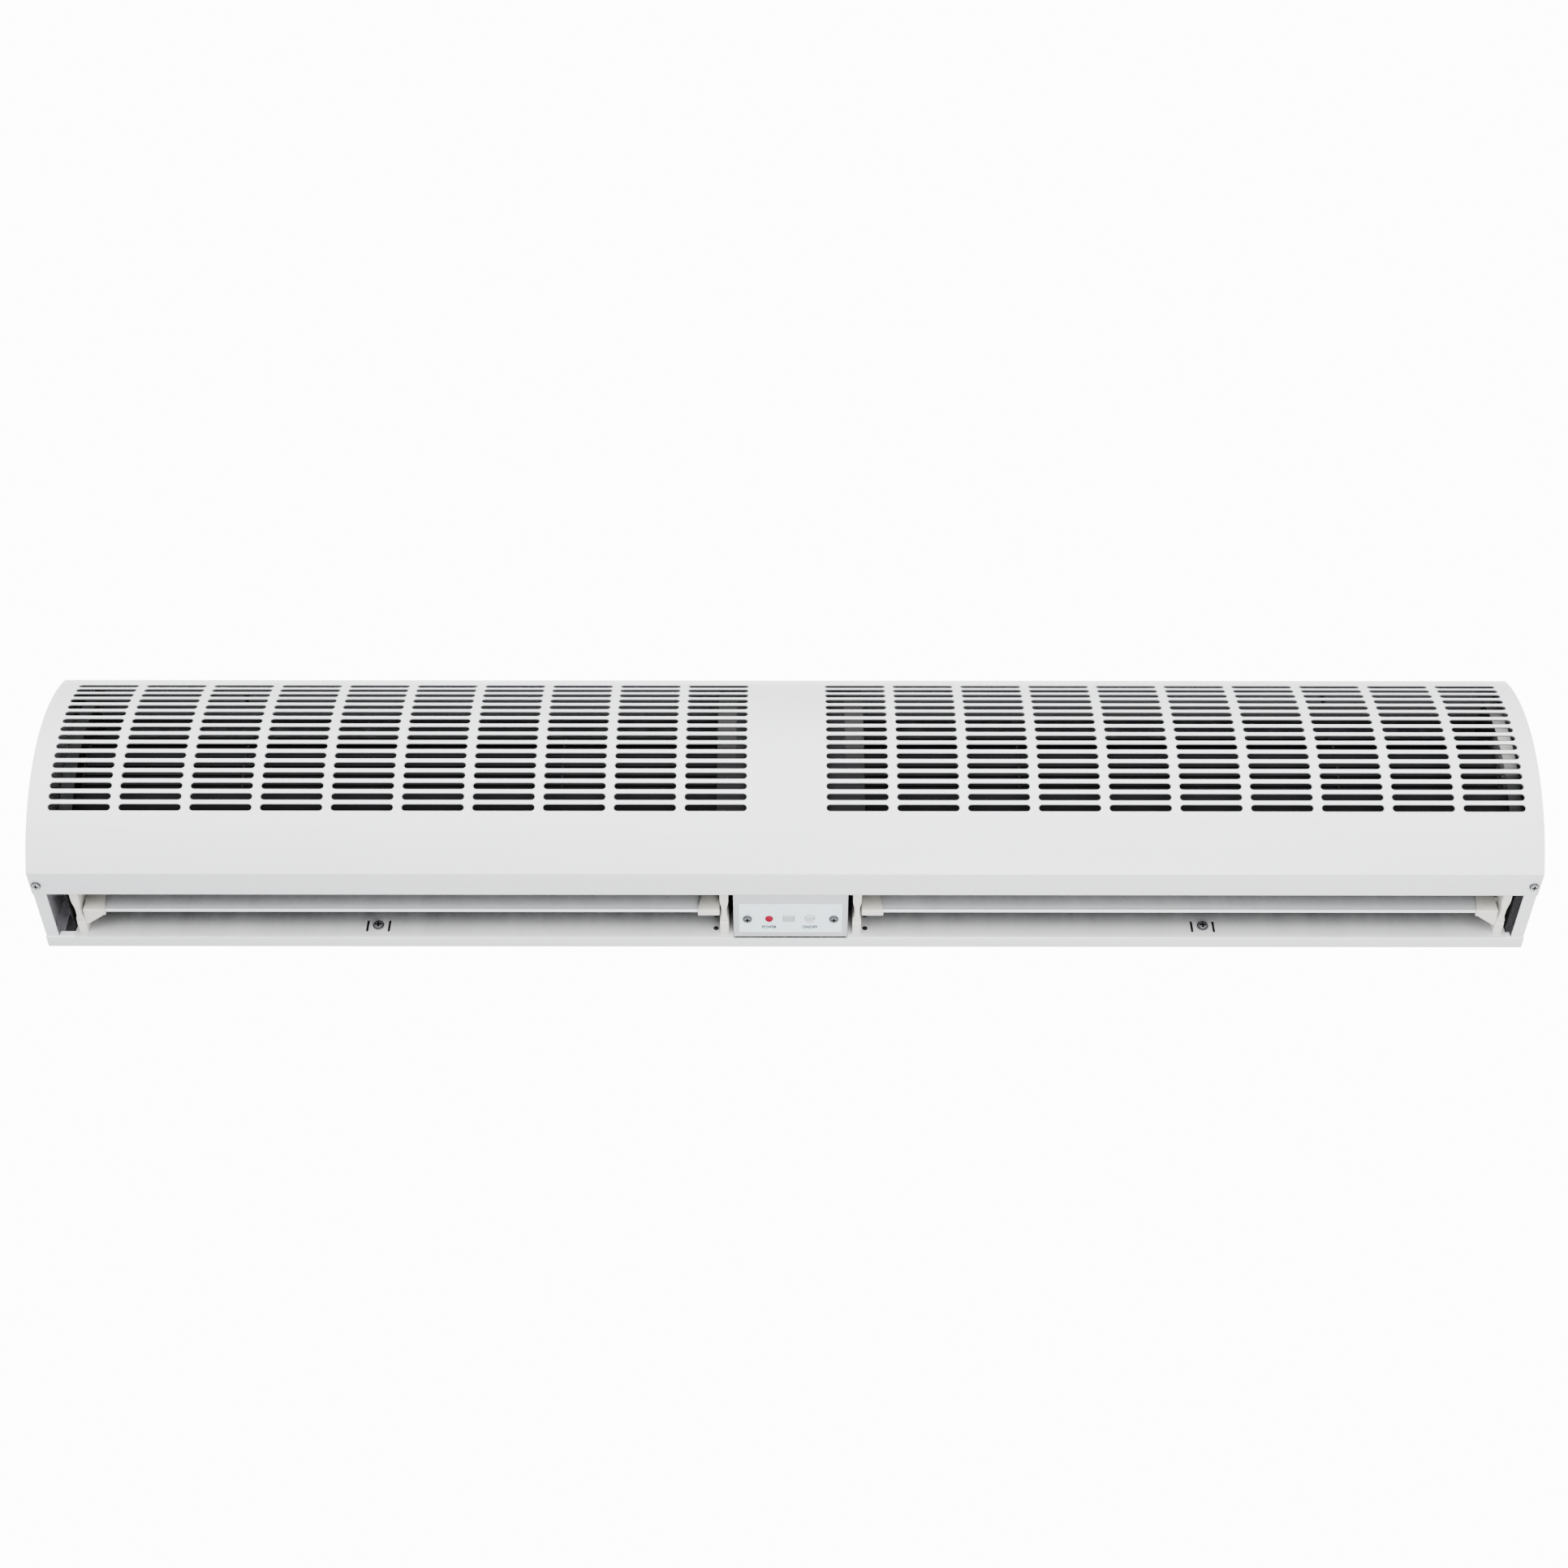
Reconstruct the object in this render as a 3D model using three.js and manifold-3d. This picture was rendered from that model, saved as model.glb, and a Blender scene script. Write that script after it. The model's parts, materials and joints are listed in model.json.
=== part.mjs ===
// Wall-mounted cross-flow air curtain, 1.2 m class, in millimetres.
// X runs along the unit, +Y points into the wall and +Z points up. The wall is the plane y = 0.
// Sections are drawn in (y, z) with z = 0 at the underside of the casing, and carried along X.
// The assembly is then lowered, so that the origin is the middle of the mounting rail's back face.
import * as THREE from 'three';
import { mergeVertices } from 'three/addons/utils/BufferGeometryUtils.js';
import Module from 'manifold-3d';

const wasm = await Module();
wasm.setup();

// ---------------------------------------------------------------- driving dimensions
// casing
const LENGTH = 1200; // end to end
const DEPTH = 150; // wall to the foremost point of the cover
const HEIGHT = 185; // underside to the top of the cover
const FRONT_RADIUS = 146; // the cover's bow
const BOW_HEIGHT = 116; // height of the bow's foremost point
const SHEET = 1; // painted steel sheet
const FIT = 0.3; // clearance between pieces that touch
const STAND_OFF = 6; // wall to the casing's back, where the mounting rail lies
const TOP_FLANGE = 25; // the cover's return over the top
const TOP_LAP = 19; // of which this much lies on the casing
const CHIN_STRIP = 24.5; // the cover's return under the chin
const REAR_LIP = 12.5; // the casing's return under the back
const HEM = 6; // upright hems along the air outlet
const CHIN_FACETS = 5; // flats of the bow between the grille and the chin
const END_FLANGE = 10; // the end plates' folds, along X

// intake grille
const ROWS = 16;
const ROW_PITCH = 9; // along the bow
const GRILLE_INSET = 18; // along the bow, from the top edge to the first row
const COLUMN_PITCH = 56;
const GRILLE_MARGIN = 11.5; // casing's end to the first column's cell, at the least
const GRILLE_SHIFT = 1.25; // the grille's middle lies this far right of the casing's
const PLAIN_BAND = 56.5; // between the grille's two halves
const SLOT_LENGTH = 49;
const SLOT_WIDTH = 5;

// fan unit
const WORKS_SHIFT = 4.5; // the fan unit's middle lies this far right of the casing's
const END_SPACE = 19; // end brackets to the casing's ends, on average
const BAY_WIDTH = 90; // motor bay, between the partitions
const WALL_RADIUS = 136; // bow of the cross walls' front edge
const WALL_FOOT = 8; // underside to the cross walls' lower edge
const PARTITION_FOLD = 14;
const BRACKET_FOLD = -9; // folded the other way, over the air channel
const AXIS_DEPTH = 76; // wall to the fan shaft
const AXIS_HEIGHT = 106;
const IMPELLER_RADIUS = 48;
const IMPELLER_END_GAP = 9;
const BLADES = 18;
const BLADE_DEPTH = 11; // radial
const BLADE_THICKNESS = 0.9;
const BLADE_LEAN = 26; // degrees of sweep from a blade's root to its tip
const BLADE_INSET = 1; // blade tip to the discs' rim
const DISC = 1.5;
const STIFFENERS = 1; // rings between an impeller's end discs
const SHAFT_RADIUS = 5;
const STUB_RADIUS = 4;
const STUB_FLANGE = 4;
const HUB_RADIUS = 13;
const HUB_LENGTH = 20;
const MOTOR_RADIUS = 44;
const MOTOR_LENGTH = 64;
const MOTOR_CHAMFER = 4;
const MOTOR_BOSS_RADIUS = 15;
const BUSH_RADIUS = 9;
const BUSH_LENGTH = 12;
const RUBBER_WALL = 4;
const RUBBER_FLANGE = 3;

// air channels
const SCROLL_START_RADIUS = 54; // scroll radius above the impeller
const SCROLL_END_RADIUS = 62.5; // and where it turns down into the outlet
const SCROLL_FROM = -95; // degrees below the level, behind the shaft
const SCROLL_TO = 15;
const SCROLL_TAB = 12;
const NOZZLE_HEIGHT = 45; // upright part of the outlet's back wall
const TONGUE_RADIUS = 53.5;
const TONGUE_FROM = 75; // degrees below the level, in front of the shaft
const TONGUE_TO = 40;
const GUIDE_HOLE = 1.8; // radius of the holes beside the inner vane brackets
const GUIDE_INSET = 15.5;
const GUIDE_HEIGHTS = [8.6, 23];

// vanes
const VANE_SETBACK = 24.9; // the outlet's front edge to the vane's pivot
const VANE_HEIGHT = 19.7; // underside to the vane's pivot
const VANE_WIDTH = 28.6;
const VANE_SKIN = 1.6;
const VANE_BEAD = 1.5; // radius of the bead along each edge of the blade
const VANE_GRIP = 12; // length of blade held in each end cap
const CAP_WALL = 1.5;
const CAP_END_THICKNESS = 3;
const CAP_WEB = 9; // web behind an outer end cap
const CAP_WEB_THICKNESS = 2;
const PIVOT_RADIUS = 2.5;
const BRACKET_GAP = 4; // cross wall to the vane bracket
const BRACKET_WIDTH = 7;
const BRACKET_WAIST = 4.6;
const BRACKET_FOOT = 7; // length of the bracket's full-width ends
const BRACKET_BASE = 3; // underside to the bracket
const BRACKET_HEIGHT = 22;

// control panel
const PANEL_RECESS = 1;
const PANEL_LAP = 1.3; // the panel reaches this far under the rear lip's line
const PANEL_FLANGE = 13;
const OVERLAY_LENGTH = 83;
const OVERLAY_THICKNESS = 0.5;
const OVERLAY_SETBACK = 10.5; // the panel's front edge to the overlay
const OVERLAY_MARGIN = 7; // the overlay to the panel's rear edge
const PANEL_SCREW_HALF = 34.8;
const LAMP_X = -17.3; // places along the panel, from its middle
const WINDOW_X = -1.5;
const BUTTON_X = 15.4;
const LAMP_RADIUS = 2.5;
const LAMP_PROUD = 1.2;
const WINDOW_LENGTH = 9;
const WINDOW_DEPTH = 6;
const WINDOW_PROUD = 0.4;
const BUTTON_RADIUS = 3.7;
const BUTTON_PROUD = 1.6;
const BUTTON_TRAVEL = 0.8;
const STEM_RADIUS = 1.8;
const RIM = 1; // flanges that keep lamp, window and button behind the panel
const BOARD_LIFT = 9; // panel sheet to circuit board
const BOARD_THICKNESS = 1.6;
const BOARD_INSET = 4; // partitions to the circuit board
const BOARD_MARGIN = 4; // the panel's folds to the circuit board
const FOOT_WIDTH = 6; // the board's spacers
const SWITCH_SIZE = 6;
const SWITCH_HEIGHT = 3.5;
const RELAY = new THREE.Vector3(19, 15, 15);
const SOCKET = new THREE.Vector3(22, 7, 9);

// mounting rail and its fastenings
const RAIL_INSET = 70; // the rail's ends to the casing's
const RAIL_HEIGHT = 110;
const RAIL_SHEET = 1.5;
const RAIL_FOOT = 60; // underside to the rail's lower edge
const HOOK_HALF = 300; // the rail's middle to each hook
const HOOK_WIDTH = 30;
const HOOK_RISE = 10;
const HOOK_HEIGHT = 140;
const HOOK_WINDOW = 16;
const WALL_HOLE = 3; // radius of the holes for wall screws
const WALL_HOLE_HALF = 150; // the rail's middle to its inner wall screws
const WALL_HOLE_END = 60; // and the rail's ends to its outer ones
const WALL_HOLE_INSET = 22;
const LOCK_INSET = 245.5; // the end brackets to the locking screws
const LOCK_HEIGHT = 11;
const LOCK_TAB = 22;
const LANCE_HALF = 8.8; // slits beside each locking screw
const LANCE_HEIGHT = 13;
const LANCE_WIDTH = 2;

// screws, cable inlet and electrics
const SCREW_SHANK = 1.9;
const SCREW_HEAD = 3.8;
const SCREW_RISE = 2.2;
const SCREW_LENGTH = 9;
const LOCK_SHANK = 2;
const LOCK_HEAD = 4.6;
const COVER_SCREW_INSET = 5.5; // from the casing's end
const COVER_SCREW_BACK = 13; // behind the chin
const TOP_SCREW_END = 150; // the casing's ends to the outer top screws
const TOP_SCREW_INSET = 9; // from the top flange's rear edge
const INLET_BORE = 4; // radius of the mains cable's inlet
const INLET_BACK = 17; // the casing's back to the inlet
const INLET_X = 26;
const CAPACITOR = new THREE.Vector3(46, 16, 30);
const CAPACITOR_EAR = 6;
const CAPACITOR_FOOT = 56; // underside to the capacitor
const TERMINAL = new THREE.Vector3(40, 14, 20);
const TERMINAL_FOOT = 136;
const TERMINAL_WAYS = 3;

// ---------------------------------------------------------------- derived places
const degrees = THREE.MathUtils.radToDeg;
const radians = THREE.MathUtils.degToRad;
const SIDES = [[-1, 'left'], [1, 'right']];
const HALF = LENGTH / 2;
const WORKS_HALF = HALF - END_SPACE; // the fan unit's middle to its end brackets
const TOP_SCREW_HALF = HALF - TOP_SCREW_END;
const LOCK_HALF = WORKS_HALF - LOCK_INSET;
const COLUMNS = Math.floor((HALF - GRILLE_MARGIN - PLAIN_BAND / 2) / COLUMN_PITCH); // in each half
const BOW_Y = FRONT_RADIUS - DEPTH;
const TOP_ANGLE = Math.asin((HEIGHT - BOW_HEIGHT) / FRONT_RADIUS);
const CHIN_ANGLE = -Math.asin(BOW_HEIGHT / FRONT_RADIUS);
const CHIN_Y = BOW_Y - FRONT_RADIUS * Math.cos(CHIN_ANGLE);
const BROW_Y = BOW_Y - FRONT_RADIUS * Math.cos(TOP_ANGLE);
const MOUTH_FRONT = CHIN_Y + CHIN_STRIP;
const BACK_Y = -STAND_OFF;
const INNER_BACK = BACK_Y - SHEET;
const MOUTH_BACK = BACK_Y - REAR_LIP;
const CASING_TOP = HEIGHT - SHEET - FIT;
const INNER_TOP = CASING_TOP - SHEET;
const CHANNEL_BACK = MOUTH_BACK - FIT - SHEET; // front face of the outlet's back wall
const AXIS = new THREE.Vector2(-AXIS_DEPTH, AXIS_HEIGHT);
const PIVOT = new THREE.Vector2(MOUTH_FRONT + VANE_SETBACK, VANE_HEIGHT);
const PANEL_FRONT = MOUTH_FRONT + FIT;
const PANEL_REAR = MOUTH_BACK + PANEL_LAP - FIT;
const PANEL_TOP = PANEL_RECESS + SHEET;
const PANEL_HALF = BAY_WIDTH / 2 + SHEET;
const OVERLAY_DEPTH = PANEL_REAR - PANEL_FRONT - OVERLAY_SETBACK - OVERLAY_MARGIN;
const OVERLAY_FACE = PANEL_RECESS - FIT - OVERLAY_THICKNESS;
const CONTROLS_Y = PANEL_FRONT + OVERLAY_SETBACK + OVERLAY_DEPTH / 2;
const BOARD_Z = PANEL_TOP + BOARD_LIFT;
const BOARD_FRONT = PANEL_FRONT + SHEET + BOARD_MARGIN;
const BOARD_REAR = PANEL_REAR - SHEET - BOARD_MARGIN;
const RAIL_HALF = HALF - RAIL_INSET;
const RAIL_FRONT = BACK_Y + FIT;
const RAIL_CENTRE = RAIL_FOOT + RAIL_HEIGHT / 2;
const COVER_SCREW_Y = CHIN_Y + COVER_SCREW_BACK;
const TOP_SCREW_Y = BROW_Y + TOP_FLANGE - TOP_SCREW_INSET;
const INLET_Y = INNER_BACK - INLET_BACK;
const IMPELLER_LENGTH = WORKS_HALF - BAY_WIDTH / 2 - SHEET - 2 * IMPELLER_END_GAP;
const BUSH_SEAT = BUSH_RADIUS + FIT;
const MOTOR_SEAT = MOTOR_BOSS_RADIUS + FIT;

const coverScrewX = (side) => side * (HALF - COVER_SCREW_INSET);
const lockX = (side) => WORKS_SHIFT + side * LOCK_HALF;
const partitionX = (side) => WORKS_SHIFT + side * (BAY_WIDTH / 2); // the face on the motor's side
const bracketX = (side) => WORKS_SHIFT + side * WORKS_HALF; // the face on the impeller's side
const impellerX = (side) => partitionX(side) + side * (SHEET + IMPELLER_END_GAP);
const rowAngle = (row) => TOP_ANGLE - (GRILLE_INSET + row * ROW_PITCH) / FRONT_RADIUS;
const ordered = (a, b) => [Math.min(a, b), Math.max(a, b)];

// ---------------------------------------------------------------- finishes
const finish = (color, roughness, metalness) => (
  new THREE.MeshStandardMaterial({ color, roughness, metalness })
);
const FINISHES = {
  white: finish(0xe9ebee, 0.35, 0),
  zinc: finish(0xb4b7ba, 0.45, 0.8),
  cream: finish(0xd8d5c9, 0.5, 0),
  aluminium: finish(0xd6d9dc, 0.35, 0.6),
  steel: finish(0x9a9ca0, 0.3, 0.9),
  black: finish(0x1d1e20, 0.6, 0),
  rubber: finish(0x232324, 0.85, 0),
  overlay: finish(0xeef0f6, 0.4, 0),
  lamp: finish(0xb01030, 0.2, 0),
  window: finish(0xc9cbd0, 0.25, 0),
  button: finish(0xe4e5e8, 0.3, 0),
  bronze: finish(0x9b7a4a, 0.4, 0.8),
  board: finish(0x2f6b3c, 0.5, 0),
};

// ---------------------------------------------------------------- solids
const ALONG_X = new THREE.Matrix4().set(0, 0, 1, 0, 1, 0, 0, 0, 0, 1, 0, 0, 0, 0, 0, 1);

/** A closed geometry as a solid that can be joined and cut. */
function solid(geometry) {
  const bare = new THREE.BufferGeometry();
  const source = geometry.index ? geometry.toNonIndexed() : geometry;
  bare.setAttribute('position', source.getAttribute('position'));
  const merged = mergeVertices(bare, 1e-4);
  return new wasm.Manifold(new wasm.Mesh({
    numProp: 3,
    vertProperties: merged.attributes.position.array,
    triVerts: new Uint32Array(merged.index.array),
  }));
}

/** A solid's surface as a geometry. */
function surface(body) {
  const mesh = body.getMesh();
  const geometry = new THREE.BufferGeometry();
  geometry.setAttribute('position', new THREE.BufferAttribute(new Float32Array(mesh.vertProperties), 3));
  geometry.setIndex(new THREE.BufferAttribute(new Uint32Array(mesh.triVerts), 1));
  return geometry;
}

const joined = (first, ...others) => others.reduce((sum, other) => sum.add(other), first);
const cut = (body, ...tools) => tools.reduce((rest, tool) => rest.subtract(tool), body);

/** An outline in (y, z) carried along X between two places. */
function alongX(points, from, to) {
  const shape = new THREE.Shape(points);
  const geometry = new THREE.ExtrudeGeometry(shape, { depth: to - from, bevelEnabled: false });
  return solid(geometry.applyMatrix4(ALONG_X).translate(from, 0, 0));
}

/** An outline in (x, y) carried up between two heights. */
function upright(points, from, to) {
  const shape = new THREE.Shape(points.map(([x, y]) => new THREE.Vector2(x, y)));
  const geometry = new THREE.ExtrudeGeometry(shape, { depth: to - from, bevelEnabled: false });
  return solid(geometry.translate(0, 0, from));
}

/** A box from its lower and upper corners. */
function block(x0, x1, y0, y1, z0, z1) {
  const geometry = new THREE.BoxGeometry(x1 - x0, y1 - y0, z1 - z0);
  return solid(geometry.translate((x0 + x1) / 2, (y0 + y1) / 2, (z0 + z1) / 2));
}

/** A body turned round the Z axis from (radius, height) points; a bored one closes on itself. */
function turned(profile, sides) {
  const points = profile.map(([r, h]) => new THREE.Vector2(r, h));
  if (profile[0][0] > 0) points.push(points[0].clone());
  return solid(new THREE.LatheGeometry(points, sides).rotateX(Math.PI / 2));
}

const rod = (radius, height, sides) => turned([[0, 0], [radius, 0], [radius, height], [0, height]], sides);
/** Radius of the corners of a many-sided bore whose flats keep clear of a round shaft. */
const clearOf = (radius, sides) => radius / Math.cos(Math.PI / sides);
const borer = (radius, height, sides) => rod(clearOf(radius, sides), height, sides);
const placed = (body, x, y, z) => body.translate([x, y, z]);
/** Lays a turned body along +X on the fan's axis, with its foot at x. */
const onShaft = (body, x) => placed(body.rotate([0, 90, 0]), x, AXIS.x, AXIS.y);
/** Turns a body that points along +Z the other way for the left side. */
const pointing = (body, side) => (side > 0 ? body : body.rotate([0, 180, 0]));

/** Points of an arc in (y, z), with angles in radians counted up from the front. */
function bow(centreY, centreZ, radius, from, to, steps) {
  return Array.from({ length: steps + 1 }, (_, i) => {
    const angle = from + ((to - from) * i) / steps;
    return new THREE.Vector2(centreY - radius * Math.cos(angle), centreZ + radius * Math.sin(angle));
  });
}

/** Outline of a bent sheet: the path is one face, and the other lies on its left. */
function bent(path, thickness) {
  const normals = path.slice(1).map((point, i) => {
    const run = point.clone().sub(path[i]).normalize();
    return new THREE.Vector2(-run.y, run.x);
  });
  const other = path.map((point, i) => {
    const before = normals[Math.max(i - 1, 0)];
    const after = normals[Math.min(i, normals.length - 1)];
    const mitre = before.clone().add(after).normalize();
    return point.clone().addScaledVector(mitre, thickness / mitre.dot(after));
  });
  return [...path, ...other.reverse()];
}

const assembly = new THREE.Group();
assembly.position.z = -RAIL_CENTRE;
const group = new THREE.Group();
group.add(assembly);

/** Adds a finished piece under its own name. */
function piece(name, body, material) {
  const mesh = new THREE.Mesh(surface(body), FINISHES[material]);
  mesh.name = name;
  assembly.add(mesh);
}

// ---------------------------------------------------------------- screws
/** Pan-head screw along +Z, with the underside of its head at the origin. */
function panScrew(shank, head, rise, length) {
  return turned([[0, -rise], [head * 0.7, -rise], [head, 0], [shank, 0], [shank, length], [0, length]], 8);
}

const coverScrewHole = (side) => (
  placed(borer(SCREW_SHANK + FIT, SCREW_LENGTH, 6), coverScrewX(side), COVER_SCREW_Y, -SHEET)
);
const topScrewHole = (x) => (
  placed(borer(SCREW_SHANK + FIT, SCREW_LENGTH, 6), x, TOP_SCREW_Y, HEIGHT + SHEET - SCREW_LENGTH)
);
const lockBore = (side, radius) => (
  placed(borer(radius, DEPTH / 2, 6).rotate([90, 0, 0]), lockX(side), FIT, LOCK_HEIGHT)
);
const TOP_SCREWS = [['left', -TOP_SCREW_HALF], ['middle', 0], ['right', TOP_SCREW_HALF]];

function screws() {
  const shortScrew = panScrew(SCREW_SHANK, SCREW_HEAD, SCREW_RISE, SCREW_LENGTH - SHEET);
  TOP_SCREWS.forEach(([name, x]) => {
    piece(`${name}_top_screw`, placed(shortScrew.rotate([180, 0, 0]), x, TOP_SCREW_Y, HEIGHT + FIT), 'steel');
  });
  SIDES.forEach(([side, name]) => {
    piece(`${name}_cover_screw`, placed(shortScrew, coverScrewX(side), COVER_SCREW_Y, -FIT), 'steel');
    const x = WORKS_SHIFT + side * PANEL_SCREW_HALF;
    piece(`${name}_panel_screw`, placed(shortScrew, x, CONTROLS_Y, OVERLAY_FACE - FIT), 'steel');
    const reach = RAIL_FRONT + RAIL_SHEET - CHANNEL_BACK + FIT;
    const long = panScrew(LOCK_SHANK, LOCK_HEAD, SCREW_RISE, reach);
    const lock = placed(long.rotate([-90, 0, 0]), lockX(side), CHANNEL_BACK - FIT, LOCK_HEIGHT);
    piece(`${name}_lock_screw`, lock, 'steel');
  });
}

// ---------------------------------------------------------------- casing
/** One row of slots as cutters, lying in the XZ plane. */
function slotRow() {
  const [length, width] = [SLOT_LENGTH / 2, SLOT_WIDTH / 2];
  const outline = [[-length, -width], [length, -width], [length, width], [-length, width]];
  const shapes = SIDES.flatMap(([side]) => Array.from({ length: COLUMNS }, (_, column) => {
    const x = GRILLE_SHIFT + side * (PLAIN_BAND / 2 + (column + 0.5) * COLUMN_PITCH);
    return new THREE.Shape(outline.map(([dx, dz]) => new THREE.Vector2(x + dx, dz)));
  }));
  const depth = 4 * SHEET;
  const geometry = new THREE.ExtrudeGeometry(shapes, { depth, bevelEnabled: false });
  return solid(geometry.translate(0, 0, -depth / 2).rotateX(Math.PI / 2));
}

/** Cuts the hems back at both ends, where the end plates fold in. */
function hemReliefs(edge) {
  return SIDES.map(([side]) => {
    const [x0, x1] = ordered(side * (HALF - END_FLANGE - SHEET), side * (HALF + SHEET));
    return block(x0, x1, edge - 2 * SHEET, edge + 2 * SHEET, SHEET, HEM + SHEET);
  });
}

/** Bowed cover: one flat for each row of slots, a plain chin, and returns over the top and below. */
function frontCover() {
  const step = ROW_PITCH / FRONT_RADIUS;
  const top = rowAngle(-0.5);
  const foot = rowAngle(ROWS - 0.5);
  const path = [
    new THREE.Vector2(BROW_Y + TOP_FLANGE, HEIGHT),
    ...bow(BOW_Y, BOW_HEIGHT, FRONT_RADIUS, TOP_ANGLE, top, Math.ceil((TOP_ANGLE - top) / step)),
    ...bow(BOW_Y, BOW_HEIGHT, FRONT_RADIUS, top - step, foot, ROWS - 1),
    ...bow(BOW_Y, BOW_HEIGHT, FRONT_RADIUS, foot, CHIN_ANGLE, CHIN_FACETS).slice(1),
    new THREE.Vector2(MOUTH_FRONT, 0),
    new THREE.Vector2(MOUTH_FRONT, HEM),
  ];
  const row = slotRow();
  const rows = Array.from({ length: ROWS }, (_, i) => {
    const angle = rowAngle(i);
    const [middle] = bow(BOW_Y, BOW_HEIGHT, FRONT_RADIUS - SHEET / 2, angle, angle, 1);
    return placed(row.rotate([-degrees(angle), 0, 0]), 0, middle.x, middle.y);
  });
  return cut(
    alongX(bent(path, SHEET), -HALF, HALF),
    ...rows,
    ...hemReliefs(MOUTH_FRONT),
    ...SIDES.map(([side]) => coverScrewHole(side)),
    ...TOP_SCREWS.map(([, x]) => topScrewHole(x)),
  );
}

/** Back, top and rear lip in one folded sheet. */
function rearCasing() {
  const path = [
    new THREE.Vector2(MOUTH_BACK, HEM),
    new THREE.Vector2(MOUTH_BACK, 0),
    new THREE.Vector2(BACK_Y, 0),
    new THREE.Vector2(BACK_Y, CASING_TOP),
    new THREE.Vector2(BROW_Y + TOP_FLANGE - TOP_LAP, CASING_TOP),
  ];
  const panelNotch = block(
    WORKS_SHIFT - PANEL_HALF - FIT,
    WORKS_SHIFT + PANEL_HALF + FIT,
    MOUTH_BACK - SHEET,
    MOUTH_BACK + PANEL_LAP,
    -SHEET,
    HEM + SHEET,
  );
  const hookSlots = SIDES.map(([side]) => {
    const middle = side * HOOK_HALF;
    const half = HOOK_WIDTH / 2 + FIT;
    const foot = HOOK_HEIGHT - HOOK_RISE - FIT;
    const head = HOOK_HEIGHT + RAIL_SHEET + FIT;
    return block(middle - half, middle + half, INNER_BACK - SHEET, BACK_Y + SHEET, foot, head);
  });
  return cut(
    alongX(bent(path, SHEET), -HALF, HALF),
    panelNotch,
    ...hookSlots,
    ...hemReliefs(MOUTH_BACK),
    ...SIDES.map(([side]) => lockBore(side, LOCK_SHANK + FIT)),
    ...TOP_SCREWS.map(([, x]) => topScrewHole(x)),
    placed(borer(INLET_BORE + RUBBER_WALL, 4 * SHEET, 8), INLET_X, INLET_Y, INNER_TOP - SHEET),
  );
}

/** End plate in the casing's section, folded in along the bottom and the back. */
function endPlate(side) {
  const radius = FRONT_RADIUS - SHEET - FIT;
  const foot = SHEET + FIT;
  const head = INNER_TOP - FIT;
  const back = INNER_BACK - FIT;
  const low = -Math.asin((BOW_HEIGHT - foot) / radius);
  const high = Math.asin((head - BOW_HEIGHT) / radius);
  const front = bow(BOW_Y, BOW_HEIGHT, radius, high, low, 12);
  const outline = [new THREE.Vector2(back, foot), new THREE.Vector2(back, head), ...front];
  const face = side * (HALF - FIT);
  const chin = front[front.length - 1].x + SHEET;
  const fold = ordered(face, face - side * END_FLANGE);
  return cut(
    joined(
      alongX(outline, ...ordered(face, face - side * SHEET)),
      block(...fold, chin, back, foot, foot + SHEET),
      block(...fold, back - SHEET, back, foot, head),
    ),
    coverScrewHole(side),
  );
}

// ---------------------------------------------------------------- fan unit
/** Grooved rubber ring round the Z axis, in a hole of a sheet that it is centred on. */
function rubberRing(bore, sides) {
  const neck = bore + RUBBER_WALL - FIT;
  const groove = SHEET / 2 + FIT;
  const reach = groove + RUBBER_FLANGE;
  const rim = neck + RUBBER_FLANGE;
  const inner = clearOf(bore, sides);
  return turned([[inner, -reach], [rim, -reach], [rim, -groove], [neck, -groove],
    [neck, groove], [rim, groove], [rim, reach], [inner, reach]], sides);
}

/** Upright sheet across the casing, holed on the fan's axis, with folds along its back and front. */
function crossWall(x, side, hole, fold) {
  const head = INNER_TOP - FIT;
  const back = INNER_BACK - FIT;
  const high = Math.asin((head - BOW_HEIGHT) / WALL_RADIUS);
  const low = -Math.asin((BOW_HEIGHT - WALL_FOOT) / WALL_RADIUS);
  const front = bow(BOW_Y, BOW_HEIGHT, WALL_RADIUS, high, low, 8);
  const outline = [new THREE.Vector2(back, WALL_FOOT), new THREE.Vector2(back, head), ...front];
  const folds = ordered(fold > 0 ? x : x + side * SHEET, x + side * fold);
  return cut(
    joined(
      alongX(outline, ...ordered(x, x + side * SHEET)),
      block(...folds, back - SHEET, back, WALL_FOOT, head),
      alongX(bent(front, SHEET), ...folds),
    ),
    onShaft(borer(hole, 4 * SHEET, 10), x - 2 * SHEET),
  );
}

/** Wall between the motor bay and an air channel; its foot folds inwards for the control panel. */
function partition(side) {
  const x = partitionX(side);
  const screwX = WORKS_SHIFT + side * PANEL_SCREW_HALF;
  const flange = SHEET + FIT;
  const foot = block(
    ...ordered(x + side * SHEET, x - side * PARTITION_FOLD),
    PANEL_FRONT + flange,
    PANEL_REAR - flange,
    WALL_FOOT,
    WALL_FOOT + SHEET,
  );
  return cut(
    joined(crossWall(x, side, MOTOR_SEAT + RUBBER_WALL, PARTITION_FOLD), foot),
    placed(borer(SCREW_SHANK + FIT, 4 * SHEET, 6), screwX, CONTROLS_Y, WALL_FOOT - SHEET),
  );
}

/** Wall that carries the outer end of a wheel and of a vane. */
const endBracket = (side) => crossWall(bracketX(side), side, BUSH_SEAT + RUBBER_WALL, BRACKET_FOLD);

/** X range of one air channel, between its partition and its end bracket. */
function channel(side) {
  return ordered(partitionX(side) + side * (SHEET + FIT), bracketX(side) - side * FIT);
}

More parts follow.
